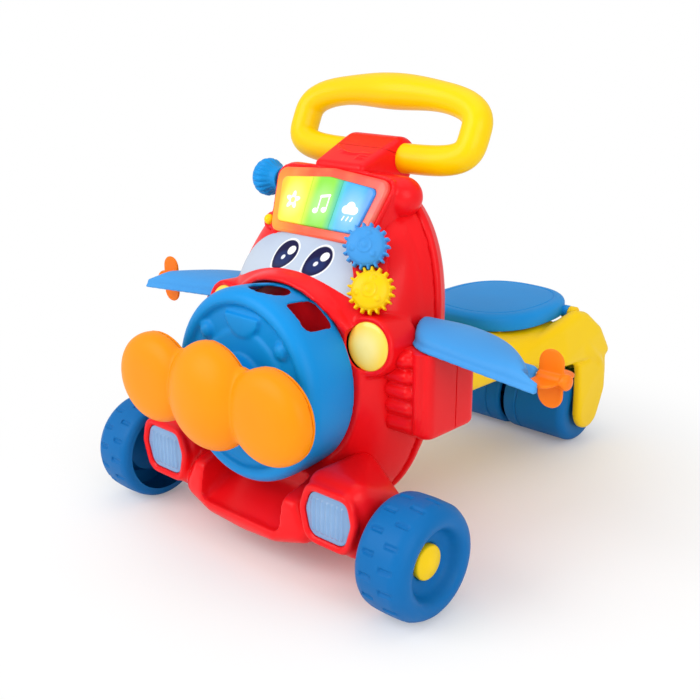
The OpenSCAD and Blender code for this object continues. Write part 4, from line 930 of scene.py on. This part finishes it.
def keyFinish(name, look):  # lit key: colours run into each other, one plain white sign
    material, pen, shader = startFinish(name)
    place = pen.place()
    lay = pen.node("Mapping", {"vector_type": "POINT"},
                   {"Vector": place, "Rotation": (-math.radians(90 - panel["tilt"]), 0.0, 0.0),
                    "Scale": (1000.0, 1000.0, 1000.0)})
    x, y = lay.axis(0), lay.axis(1)
    cloud = place.noise(60.0, 2.0)
    base = (1 - x.step(-20, -8)).tint(colour(look["colour"]), colour(look["left"]))
    base = x.step(8, 20).tint(base, colour(look["right"]))
    glow = 1 - (((x / 19) ** 2 + (y / 24) ** 2) ** 0.5).step(0.2, 1.1)
    base = (glow * 0.14 + cloud * 0.04).tint(base, white)

    def bar(x0, y0, x1, y1, r):
        ux, uy = x1 - x0, y1 - y0
        run = (((x - x0) * ux + (y - y0) * uy) * (1 / (ux * ux + uy * uy))).most(0.0).least(1.0)
        far = ((x - x0 - run * ux) ** 2 + (y - y0 - run * uy) ** 2) ** 0.5
        return 1 - far.step(r - 0.3, r + 0.3)

    if "star" in look:
        star = look["star"]
        petal = pen.maths("COSINE", pen.maths("ARCTAN2", x, y) * star["points"])
        far = (x ** 2 + y ** 2) ** 0.5
        edge = star["reach"] + petal * star["swing"]
        sign = (1 - (far - edge).step(-0.4, 0.4)) * (far - star["core"]).step(-0.3, 0.3)
    else:
        shapes = [oval(x, y, *o, 0.4) for o in look["ovals"]] + [bar(*b) for b in look["bars"]]
        sign = shapes[0]
        for shape in shapes[1:]:
            sign = sign.most(shape)
    base = (sign * 0.9).tint(base, white)
    feed(pen, shader, Base_Color=base, Roughness=0.26 + cloud * 0.08, Emission_Color=base,
         Emission_Strength=0.18, Coat_Weight=0.35, Coat_Roughness=0.12)
    return material


def rimFinish():  # milky rim, lit orange at one end and pink at the other
    material, pen, shader = startFinish("glowRim")
    place = pen.place()
    x, z = place.axis(0) * 1000, place.axis(2) * 1000
    cloud = place.noise(50.0, 3.0)
    base = x.step(-70, -10).tint(colour("#f59a14"), colour("#ee4a1c"))
    base = x.step(10, 66).tint(base, colour("#e65a50"))
    base = (z.step(335, 372) * 0.5).tint(base, colour("#e02c1c"))
    base = (cloud.step(0.4, 0.8) * 0.15).tint(base, colour("#ffc070"))
    feed(pen, shader, Base_Color=base, Roughness=0.3 + cloud * 0.08, Emission_Color=base,
         Emission_Strength=0.12, Coat_Weight=0.3, Coat_Roughness=0.12)
    return material


finish.update({name: keyFinish(name, look) for name, look in keys.items()})
finish["glowRim"] = rimFinish()

# gears and knob
gears = {"mid": (83.8, 59.6, 290.7), "yaw": 28, "pitch": 24, "line": -78, "centres": 42, "teeth": 18,
         "w": 11, "depth": 4, "crown": 5, "ringR": 6.5, "ringT": 0.9, "dotR": 11.4, "dots": (0.6, 2.7, 4.8)}
atGears = shift(*gears["mid"]) @ turned(x=90 - gears["pitch"], z=gears["yaw"]) @ turned(z=gears["line"])


def gearParts(start, pegs):
    g = gears
    root, tip = (g["centres"] / 2 + s * g["depth"] / 2 - 0.4 for s in (-1, 1))
    toothW = math.pi * g["centres"] / g["teeth"] * 0.44

    def crownAt(r):
        return g["w"] + g["crown"] * math.sqrt(max(0, 1 - (r / (root - 1)) ** 2))

    rim = [(0, 0), (root - 0.6, 0), (root, 0.6), (root, g["w"] - 1), (root - 1, g["w"])]
    crown = [(r, crownAt(r)) for r in np.linspace(root - 1.2, 0.6, 16)]
    parts = [lathe(rim + crown + [(0, g["w"] + g["crown"])], 72)]
    if pegs:  # round pegs, or else tapering teeth: rows of radius and share of the width
        power, rows = 3, ((root - 3, 2), (tip - 1.6, 2), (tip - 0.6, 2.5), (tip - 0.1, 5))
    else:
        power, rows = 4, ((root - 3, 2), (root + 1.5, 2), (tip - 0.8, 2.6), (tip - 0.1, 4))
    a = turns(24)
    high = g["w"] / 2 + 5.2 * curve(np.sin(a), power)
    tooth = loft([np.column_stack([np.full(24, r), toothW / share * np.cos(a), high]) for r, share in rows])
    parts += [moved(tooth, turned(z=(i + start) * 360 / g["teeth"])) for i in range(g["teeth"])]
    bead = lathe(arc(g["ringR"], 0, g["ringT"], g["ringT"], turns(12)), 64)
    parts.append(moved(bead, shift(0, 0, crownAt(g["ringR"]))))
    for a in g["dots"]:
        parts.append(ball((g["dotR"] * math.cos(a), g["dotR"] * math.sin(a), g["w"] + 3.2),
                          (3.2, 3.2, 2.0)))
    parts.append(ball((0, 0, g["w"] + g["crown"] - 0.6), (3.4, 3.4, 1.8)))
    return parts


def buildGears():
    for name, side, start, pegs, look in (("blue", -1, 0, True, "blueWing"),
                                          ("yellow", 1, 0.5, False, "yellowGloss")):
        lay = atGears @ shift(side * gears["centres"] / 2, 0, 0)
        solid = fuse([moved(p, lay) for p in gearParts(start, pegs)], 0.62, 2,
                     hollow=[moved(rod(3.06, -4, 10), lay)])
        piece(name + "Gear", solid, look, name + "_gear", name + "_gear_spin")


# the knob's neck has a share of r and a height at each point
knob = {"r": 20, "l": 36, "ribs": 18,
        "neck": ((0.58, 0), (0.62, 0.8), (0.60, 4), (0.64, 8), (0.78, 12), (0.93, 15.5), (1, 19))}


def buildKnob():
    k = knob
    profile = [(0, 0)] + [(k["r"] * share, z) for share, z in k["neck"]]
    profile += [(k["r"] * math.cos(a), k["l"] * (0.62 + 0.38 * math.sin(a)))
                for a in quarter(16)[:-1]] + [(0, k["l"])]
    verts, faces = lathe(profile, k["ribs"] * 12)
    wave = (0.5 + 0.5 * np.cos(np.arctan2(verts[:, 1], verts[:, 0]) * k["ribs"])) ** 2
    band = smooth((verts[:, 2] - 9) / 5) * smooth((k["l"] * 0.86 - verts[:, 2]) / 6)
    verts = shrunk(verts, 1 - 1.3 * wave * band / np.maximum(np.hypot(verts[:, 0], verts[:, 1]), 1))
    lay = shift(-hood["earX"] - hood["earR"] - 0.4, hood["earY"], hood["earZ"]) @ turned(y=-90)
    solid = carve(moved((verts, faces), lay), [moved(rod(4.06, -4, 27), lay)])
    piece("sideKnob", solid, "blueBody", "side_knob", "side_knob_spin")


# handle and neck
handle = {"y": 164, "z": 379, "lean": 24, "w": 256, "d": 30, "rise": 68, "grip": 3.5, "gripL": 150,
          "neckW": 74, "round": (2.8, 4.6), "neckRings": ((6, 21), (2, 19), (0, 15)),
          "neckFeet": ((10, 110, 373), (10, 110, 362), (6, 158, 342), (6, 140, 335)),
          "faceStart": (0, 107, 379.6), "faceWay": (0, 53, 20)}
atHandle = shift(0, handle["y"], handle["z"]) @ turned(x=90 - handle["lean"])


def buildHandle():
    h = handle
    half, mid = h["w"] / 2 - h["d"] / 2, h["rise"] / 2
    a = turns(240)
    power = np.where(np.sin(a) > 0, *h["round"])  # round over the top, flatter along the foot
    line = np.column_stack([half * curve(np.cos(a), power), mid + mid * curve(np.sin(a), power)])
    line = spread(line, 200)
    top = np.clip(line[:, 1] / mid - 1, 0, 1)
    size = h["d"] / 2 + h["grip"] * top * np.cos(np.clip(line[:, 0] / h["gripL"], -0.5, 0.5) * math.pi) ** 2
    piece("handleLoop", moved(tube(flat(line, 0), size, 40, loop=True), atHandle), "yellowGloss", "handle")
    w = h["neckW"] / 2
    points = [ringX(s * (w - less), r, h["y"], h["z"], 40) for less, r in h["neckRings"] for s in (-1, 1)]
    points += [spherePoints((s * (w - less), y, z), 6) for s in (-1, 1) for less, y, z in h["neckFeet"]]
    up = np.array(h["faceWay"]) / math.hypot(*h["faceWay"][1:])

    def onFace(x, v):
        return np.array(h["faceStart"]) + up * v + (x, 0, 0)

    swoosh = [onFace(22 * math.sin(a) - 6, 33 - 17 * math.cos(a - 0.35))
              for a in np.linspace(-1.15, 1.1, 25)]
    marks = [tube(swoosh, np.interp(np.linspace(-1, 1, 25), (-1, 0, 1), (0.5, 1.6, 0.5)), 12)]
    marks += [pill(onFace(15, v), onFace(24, v), 0.9, 12) for v in (9, 14, 19)]
    bar = moved(rod(15.02, -150, 150, 64), across(0, h["y"], h["z"]))
    split = shift(0, h["y"], h["z"]) @ turned(x=-h["lean"])
    solid = fuse([hull(points), *marks], 1.3, 4)
    for name, side, node in (("handleNeck", 1, "handle_neck"), ("handleClamp", -1, "handle_clamp")):
        far = moved(slab(rect(-150, -150, 150, 150), *sorted((side * -0.2, side * 120))), split)
        piece(name, carve(solid, [far, bar, wholeBody, crossTube]), "redShell", node)


# wings, paddles, side pods
wing = {"reach": 270, "chord": 69, "z": 228, "droop": 5, "crown": 18, "y": 62, "edge": 3, "root": 106,
        "side": 118, "round": 34, "widest": 0.3, "tip": 9, "hingeX": 120, "arc": 49}
paddle = {"x": 249, "y": 96, "d": 54, "w": 25, "room": 29,
          "petal": ((0.93, -1.5), (0.985, -1.2), (1, -0.5), (1, 0.5), (0.985, 1.2), (0.93, 1.5),
                    (0.5, 1.0))}
droopSlope = math.tan(math.radians(wing["droop"]))
paddleAt = (paddle["x"], paddle["y"], wing["z"] - (paddle["x"] - wing["hingeX"]) * droopSlope)


def wingEdges(s):  # front and back edge, s 0 at the fuselage and 1 at the tip
    w = wing
    d = s * (w["reach"] - w["side"])
    front = w["y"] + (0 if d >= w["round"] else w["round"] - math.sqrt(d * (2 * w["round"] - d)))
    if s < w["widest"]:
        share = 1 - 0.38 * (1 - s / w["widest"]) ** 2
    else:
        share = (1 - ((s - w["widest"]) / (1.01 - w["widest"])) ** 2.4) ** 1.5
    return front, w["y"] + max(w["chord"] * share, w["tip"])


def buildWings():
    w = wing
    rings, edge = [], []
    a = np.linspace(0, math.pi, w["arc"])
    for i, s in enumerate(np.concatenate([[0], np.linspace(0, 0.1, 14), np.linspace(0.12, 0.98, 34)])):
        x = mix(w["side"], w["reach"], s) if i else w["root"]
        front, back = wingEdges(s)
        depth = back - front
        low = w["z"] - (x - w["hingeX"]) * droopSlope
        under = low - w["edge"]
        crown = (w["crown"] - 3 * s) * min(1, math.sqrt((1.03 - s) / 0.1)) * min(1, math.sqrt(depth / 30))
        lip = min(1.3, depth * 0.3)
        top = np.column_stack([np.full(w["arc"], x), front + lip + (depth / 2 - lip) * (1 - np.cos(a)),
                               low + 0.6 + (crown - 0.6) * np.sin(a) ** 0.75])
        rest = [(x, back, low + 0.4), (x, back, under), (x, back - lip, under - 0.1),
                (x, front + lip, under - 0.1), (x, front, under), (x, front, low + 0.4)]
        rings.append(np.vstack([top, rest]))
        edge.append((x, front, low - 1.4))
    px, py, pz = paddleAt
    notch = moved(rod(paddle["room"], 0, 100, 72), across(*paddleAt))
    bore = moved(rod(3.06, -30, 30), across(*paddleAt))
    mount = pill((px - 40, py, pz), (px - 8.4, py, pz), 7.5)
    solid = fuse([loft(rings), tube(edge[1:], 1.7, 16), mount], 1.1, 3, cuts=[notch],
                 hollow=[wholeBody, bore])
    pair("wing", carve(solid, [cheekRoom]), "blueWing", "wing")


def buildPaddles():
    px, py, pz = paddleAt
    half = paddle["w"] / 2
    # hub, with a cap over the pin's head
    parts = [lathe([(0, -half), (5.4, -half), (6, -half + 0.6), (6, half - 1), (7.4, half), (7.4, half + 4),
                    (6, half + 6), (3, half + 7), (0, half + 7.2)], 40)]
    tip = arc(0, paddle["d"] / 2 - half, half, half, np.linspace(0, math.pi, 25))
    outline = spread([(-half, 0), (half, 0)] + tip, 96)
    middle = outline.mean(0)
    petal = loft([flat(middle + (outline - middle) * k, z) for k, z in paddle["petal"]])
    upright = Matrix(((0, 0, 1, 0), (0, 1, 0, 0), (-1, 0, 0, 0), (0, 0, 0, 1)))  # outline's x along the hub
    parts += [moved(petal, turned(z=90 * i) @ upright) for i in range(4)]
    lay = across(px + 0.4 + half, py, pz)
    bore = lathe([(0, -40), (3.06, -40), (3.06, half + 0.2), (5.9, half + 0.2), (5.9, half + 4.4),
                  (0, half + 4.4)], 32)
    solid = fuse([moved(q, lay) for q in parts], 0.75, 2, hollow=[moved(bore, lay)])
    pair("paddle", solid, "orangeBlade", "paddle", "paddle_{}_spin")


sidePod = {"root": 84, "reach": 158, "front": 58, "back": 132, "low": 137, "high": 226, "ribs": 5,
           "round": 9, "ribR": 7.6}


def buildSidePods():
    s = sidePod

    def outline(i):
        return rounded(rect(s["root"], s["front"] + i, s["reach"] - i, s["back"] - i), s["round"])

    levels = ((5, s["low"]), (1.5, s["low"] + 1.5), (0, s["low"] + 5), (0, s["high"] + 8))
    parts = [loft([flat(outline(i), z) for i, z in levels])]
    for i in range(s["ribs"]):
        z = s["high"] - 12 - i * (s["high"] - s["low"] - 22) / (s["ribs"] - 1)
        parts.append(pill((112, 55 + 2 * i, z), (133, 55 + 2 * i, z), s["ribR"]))
    parts.append(tube([(145, 56.5, s["high"] + 4), (145.5, 57, 190), (145, 58, 160),
                       (143, 60, s["low"] + 5)], 4.6))
    top = shift(wing["hingeX"], 0, wing["z"] - wing["edge"] - 0.4) @ turned(y=wing["droop"])
    lid = moved(slab(rect(-200, -200, 400, 400), 0, 100), top)  # the wing's room
    seam = slab(rect(s["reach"] - 1.1, 99, s["reach"] + 4, 100.6), s["low"] - 5, s["high"] + 20)
    pair("sidePod", fuse(parts, 1.4, 4, hollow=[wholeBody, lid, seam, cheekRoom]), "redShell", "side_pod")


# wheels
wheel = {"r": 56, "x": 165, "slots": 16, "slotW": 4.4, "slotL": 13, "slotDeep": 1.8, "slotZ": (16, 37),
         "capZ": 37, "inner": ((45, 0), (49, 0.4), (52.4, 2), (54.4, 5), (55.3, 9)),
         "outer": ((55.2, 42.6), (54.2, 45), (52.2, 48.6), (50.0, 51.4), (47.4, 53.4), (44.4, 54.6),
                   (41.5, 55), (38.6, 54.6), (36.2, 53.4), (34.2, 51.2), (32.6, 48.2), (31.2, 44.8),
                   (29.6, 42), (27.2, 40.2),
                   (24.5, 39.4), (19.5, 39.2), (18, 38.8), (17.05, 37.8), (17.05, 37), (9.1, 37), (9.1, 29),
                   (4.06, 29), (4.06, 0.4), (10, 0.4), (10, 25), (29.6, 25), (35.6, 41), (52, 41), (52, 10),
                   (48.2, 1.4), (46, 0.6)),
         "cap": ((0, 2), (14.8, 2), (14.8, 0), (16.6, 0), (16.8, 0.4), (16.8, 4.4)),
         "capTop": ((11, 8.2), (6, 9.3), (2.5, 9.6), (0, 9.7))}
roller = {"r": 45, "x": 3.5,
          "tread": ((39, 0), (42.5, 0.6), (44.4, 2.4), (45, 5), (45, 17.4), (44.2, 18.2), (43.7, 19.1),
                    (44.2, 20), (45, 20.8), (45, 40), (45, 60), (45, 70)),
          "side": ((30, 87), (26, 86.4), (22, 84.4), (18, 83.6), (13, 83.6), (9.6, 84.4), (9, 86.6),
                   (8, 87), (4.06, 87), (4.06, 0.2), (9, 0.2), (9, 82), (31, 82), (41, 75), (41, 5),
                   (39.4, 0.4))}


def buildWheels():
    w = wheel
    tread = [(55.4 + 0.6 * math.sin(math.pi * t), mix(9, 42, t)) for t in np.linspace(0.04, 0.96, 40)]
    verts, faces = lathe([*w["inner"], *tread, *w["outer"]], 320)
    r = np.hypot(verts[:, 0], verts[:, 1])
    turn = np.arctan2(verts[:, 1], verts[:, 0])
    pitch = 2 * math.pi / w["slots"]
    dent = np.zeros(len(verts))
    for row, z in enumerate(w["slotZ"]):
        off = np.abs((turn / pitch + row / 2 + 0.5) % 1 - 0.5) * pitch * w["r"]
        along = smooth((w["slotL"] / 2 + 0.5 - np.abs(verts[:, 2] - z)) / 1.0)
        dent = np.maximum(dent, smooth((w["slotW"] / 2 + 0.5 - off) / 1.0) * along)
    verts = shrunk(verts, np.where(r > 53, 1 - w["slotDeep"] * dent / np.maximum(r, 1), 1))
    lay = across(w["x"], 0, w["r"])
    pair("frontWheel", moved((verts, faces), lay), "blueWheel", "front_wheel", "front_wheel_{}_spin")
    cap = [*w["cap"], *arc(16.8 - 2.2, 4.6, 2.2, 2.2, quarter(12)[1:]), *w["capTop"]]
    solid = moved(lathe(cap, 72), lay @ shift(0, 0, w["capZ"]))
    pair("hubCap", solid, "yellowGloss", "hub_cap", "front_wheel_{}_spin")
    profile = [*roller["tread"], *arc(35, 77, 10, 10, quarter(12)), *roller["side"]]
    solid = moved(lathe(profile, 128), across(roller["x"], tail["axle"], roller["r"]))
    pair("rearRoller", solid, "blueWheel", "rear_wheel", "rear_wheel_{}_spin")


# tail and seat
tail = {"fork": 208, "top": 165, "h": 57, "axle": 452, "r": 45, "hinge": (436, 169), "wall": 3,
        "swing": 407, "bin": (-52, 322, 52, 399), "web": (-2.5, 427, 2.5, 477),
        "block": (76.1, 428, 85.1, 444), "cover": (-120, 170, 120, 399),
        "cheeks": ((73, 318, 138), (86, 396, 158), (86.6, 430, 166), (88, 447, 161), (93, 470, 141),
                   (94, 488, 114), (91, 400, 120))}
seat = {"w": 150, "l": 175, "y": 388, "z": 165.4, "count": 120, "earX": 72,
        "levels": ((4.6, 0.6), (2.0, 0), (0.6, 0.8), (0, 2.4), (0, 8), (0.2, 12.4), (0.9, 14.6),
                   (2.2, 16.6), (4.4, 18.2), (7.4, 19.2), (10.6, 19.6), (12.2, 19.6), (12.8, 18.9),
                   (13.4, 18.8), (14.0, 19.0), (14.6, 19.7),
                   (18, 20.0), (26, 20.4), (40, 20.7), (56, 20.8), (70, 20.8)),  # inset, height
        "under": ((5, -2), (5, 12), (7, 14.5), (11, 16))}


def smoothLine(keys, xs):  # soft curve through key values
    keys = np.asarray(keys, float)
    x, v = keys[:, 0], keys[:, 1:]
    slope = np.gradient(v, x, axis=0)
    out = []
    for t in xs:
        i = int(np.clip(np.searchsorted(x, t) - 1, 0, len(x) - 2))
        h = x[i + 1] - x[i]
        s = (t - x[i]) / h
        out.append((2 * s ** 3 - 3 * s ** 2 + 1) * v[i] + (s ** 3 - 2 * s ** 2 + s) * h * slope[i]
                   + (3 * s ** 2 - 2 * s ** 3) * v[i + 1] + (s ** 3 - s ** 2) * h * slope[i + 1])
    return np.array(out)


def tailRing(y, half, top, low, power):
    a = turns(96)
    z = (top + low) / 2 + curve(np.sin(a), power) * (top - low) / 2
    return np.column_stack([half * curve(np.cos(a), power), np.full(96, y), z])


def seatOutline(inset):
    a = turns(seat["count"])
    wide, deep = seat["w"] / 2 - inset, seat["l"] / 2 - inset
    return np.column_stack([-wide * curve(np.cos(a), 2.5), seat["y"] + deep * curve(np.sin(a), 2.5)])


def swingRoom(inset, front, low, high):  # space that the rear of the lid dips into
    line = seatOutline(inset)
    line = line[line[:, 1] > front]
    line = line[np.argsort(line[:, 0])]
    return slab(np.vstack([[(line[0, 0], front)], line, [(line[-1, 0], front)]])[::-1], low, high)


def disc(r, half, bevel):  # hinge knuckle or ear
    return lathe([(0, -half), (r - bevel, -half), (r, bevel - half), (r, half - bevel), (r - bevel, half),
                  (0, half)], 48)


def buildTail():
    axle, top, low, r = tail["axle"], tail["top"], tail["top"] - tail["h"], tail["r"]
    half = tail["fork"] / 2
    keyRings = [(126, 72, top - 2, low + 2, 4), (245, 75, top, low, 4), (330, 81, top, low, 4),
                (386, 92.4, top, low - 3, 4), (430, half - 4, top - 3, r + 50, 3),
                (460, half, top - 26, r + 46, 2.5), (488, half - 4, top - 60, r + 32, 2.5),
                (508, half - 24, top - 82, r + 22, 2.5)]
    ys = np.concatenate([np.linspace(126, 380, 26), np.linspace(385, 507.5, 36)])
    rows = smoothLine(keyRings, ys)
    wall = tail["wall"]
    outer = loft([tailRing(y, *row) for y, row in zip(ys, rows)])
    inner = loft([tailRing(y, row[0] - wall, row[1] - wall, row[2] - 180, 5) for y, row in zip(ys, rows)])
    well = half - 12
    points = []
    for x, g in ((half - 10, 0), (half - 4, 0), (half - 1.2, -1.6), (half, -4.5)):
        points += [ringX(x, 25 + g, axle, r, 40), ringX(x, 22 + g, axle + 14, r + 24, 40)]
    points.append(np.array([(x, y, z) for x in (half - 12, half - 3) for y in (426, 488)
                            for z in (100, 108)]))
    fork = hull(points)
    hollow = carve(inner, within=[slab(rect(-well, 0, well, 505), -50, 400)])
    hollow = carve(hollow, [slab(rect(*tail["web"]), 0, 400)])
    knuckle = moved(disc(8, 4.5, 0.6), across(80.6, *tail["hinge"]))
    block = slab(rect(*tail["block"]), 143, 169)
    swing = swingRoom(3, tail["swing"], 125, 225)
    pocket = swingRoom(0.4, tail["swing"] - 3.4, 120, 230)  # closes the deck round that space
    pocket = carve(pocket, within=[moved(outer, shift(0, 0, -1.2))])
    earRoom = bothSides(moved(rod(11, -5, 5, 48), across(seat["earX"], *tail["hinge"])))
    axleBore = moved(rod(4, -102.2, 102.2), across(0, axle, r))
    pinBore = moved(rod(3, -89, 89), across(0, *tail["hinge"]))
    cheeks = bothSides(hull([spherePoints(p, 9) for p in tail["cheeks"]]))  # stand either side of the hinge
    solid = fuse([outer, *bothSides(fork), *cheeks], 2.0, 8,
                 hollow=[hollow, wholeBody, slab(rect(*tail["bin"]), 118, 230), *earRoom])
    web = slab(rect(*tail["web"]), 37, 93)
    solid = carve(solid, [swing, axleBore, pinBore, *earRoom],
                  adds=[pocket, *bothSides(knuckle), *bothSides(block), web])
    piece("tailShell", solid, "yellowGloss", "tail_shell")
    under = slab(rect(*tail["cover"]), 90, 111.4)
    cover = carve(outer, within=[hollow, under])  # bottom cover, flush with the flanks
    piece("tailCover", cover, "yellowGloss", "tail_underside")


def buildSeat():
    top, under = (loft([flat(seatOutline(i), seat["z"] + z) for i, z in seat[part]])
                  for part in ("levels", "under"))
    ear = moved(disc(8, 4.5, 0.8), across(seat["earX"], *tail["hinge"]))
    room = bothSides(moved(rod(8.5, -4.9, 4.9, 48), across(81, *tail["hinge"])))
    pin = moved(rod(3.06, -200, 200), across(0, *tail["hinge"]))
    piece("seatLid", carve(top, [under, *room, pin], adds=bothSides(ear)), "blueSeat", "seat_lid", "seat")


for build in (buildShells, buildWindscreen, buildNose, buildPropeller, buildLamps, buildBumper, buildHood,
              buildPanel, buildGears, buildKnob, buildHandle, buildWings, buildPaddles, buildSidePods,
              buildWheels, buildTail, buildSeat):
    build()
    print(build.__name__, "done")

# CAD nodes that stay get a finish
kept = {
    "steelPin": ("propeller_pin", "gear_pins", "knob_pin", "paddle_pin_left", "paddle_pin_right",
                 "front_axle", "front_axle_nuts", "seat_hinge_pins", "rear_axle", "shell_screws"),
    "redShell": ("gear_deck", "battery_door"), "yellowGloss": ("storage_bin",), "darkRed": ("battery_box",),
    "padRubber": ("key_pad",), "greenBoard": ("circuit_board",), "panelLamp": ("panel_lamps",),
    "speakerBlack": ("speaker",), "cellWrap": ("battery_cells",),
}
for look, nodes in kept.items():
    for node in nodes:
        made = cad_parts[node]
        made.data.materials.clear()
        made.data.materials.append(finish[look])
print("kept nodes dressed:", sum(len(nodes) for nodes in kept.values()))

# studio
studio = {"camera": (0.7197, -0.6597, 0.5242), "target": (0.0108, 0.1113, 0.1839), "lens": 54.46,
          "sky": 0.66,
          "lamps": (("keyLamp", (-0.8, -1.9, 1.4), 1.6, 26.0), ("sideLamp", (1.8, -0.9, 1.1), 1.4, 14.0),
                    ("topLamp", (0.1, 0.2, 2.1), 1.8, 7.0)),  # name, place, size, watts
          "floorR": 6.0, "floorZ": -0.0006, "floorFade": (0.15, 0.55)}


def placed(name, data, at, target):
    made = bpy.data.objects.new(name, data)
    made.location = at
    made.rotation_euler = (Vector(target) - made.location).to_track_quat("-Z", "Y").to_euler()
    bpy.context.collection.objects.link(made)
    return made


def seenStraight(pen):  # 1 for the camera's own rays, also past clear pieces
    return pen.node("LightPath", out=0).most(pen.node("LightPath", out=6))


def buildStudio():
    s = studio
    eye = bpy.data.cameras.new("camera")
    eye.lens = s["lens"]
    eye.sensor_width = 36
    ahead = Vector((0, axleY, 0))
    bpy.context.scene.camera = placed("camera", eye, Vector(s["camera"]) + ahead,
                                      Vector(s["target"]) + ahead)
    for name, at, size, power in s["lamps"]:
        lamp = bpy.data.lights.new(name, "AREA")
        lamp.size = size
        lamp.energy = power
        placed(name, lamp, at, (0, 0, 0.15))
    world = bpy.data.worlds.new("softTent")
    world.use_nodes = True
    bpy.context.scene.world = world
    pen = Wire(world.node_tree)
    dim = pen.node("Background", values={"Color": white, "Strength": s["sky"]})
    plain = pen.node("Background", values={"Color": white, "Strength": 1.0})
    both = pen.node("MixShader", values={0: seenStraight(pen), 1: dim, 2: plain})
    connect(pen.tree, world.node_tree.nodes["World Output"].inputs["Surface"], both)
    mesh = bpy.data.meshes.new("floor")
    edge = flat(arc(0, 0, s["floorR"], s["floorR"], turns(96)), s["floorZ"])
    mesh.from_pydata(edge.tolist(), [], [tuple(range(96))])
    floor = bpy.data.objects.new("floor", mesh)
    bpy.context.collection.objects.link(floor)
    material, pen, shader = startFinish("paleFloor")
    far = pen.place().length()
    feed(pen, shader, Base_Color=(0.92, 0.92, 0.92, 1), Roughness=0.9)
    glow = pen.node("Emission", values={"Color": white, "Strength": 1.0})
    both = pen.node("MixShader", values={0: seenStraight(pen) * far.step(*s["floorFade"]),
                                         1: Wire(pen.tree, shader.outputs[0]), 2: glow})
    below = pen.node("NewGeometry", out=6)  # see-through from below
    both = pen.node("MixShader", values={0: below, 1: both, 2: pen.node("BsdfTransparent")})
    connect(pen.tree, material.node_tree.nodes["Material Output"].inputs["Surface"], both)
    mesh.materials.append(material)
    bpy.context.scene.view_settings.view_transform = "Standard"
    print("studio done")


buildStudio()
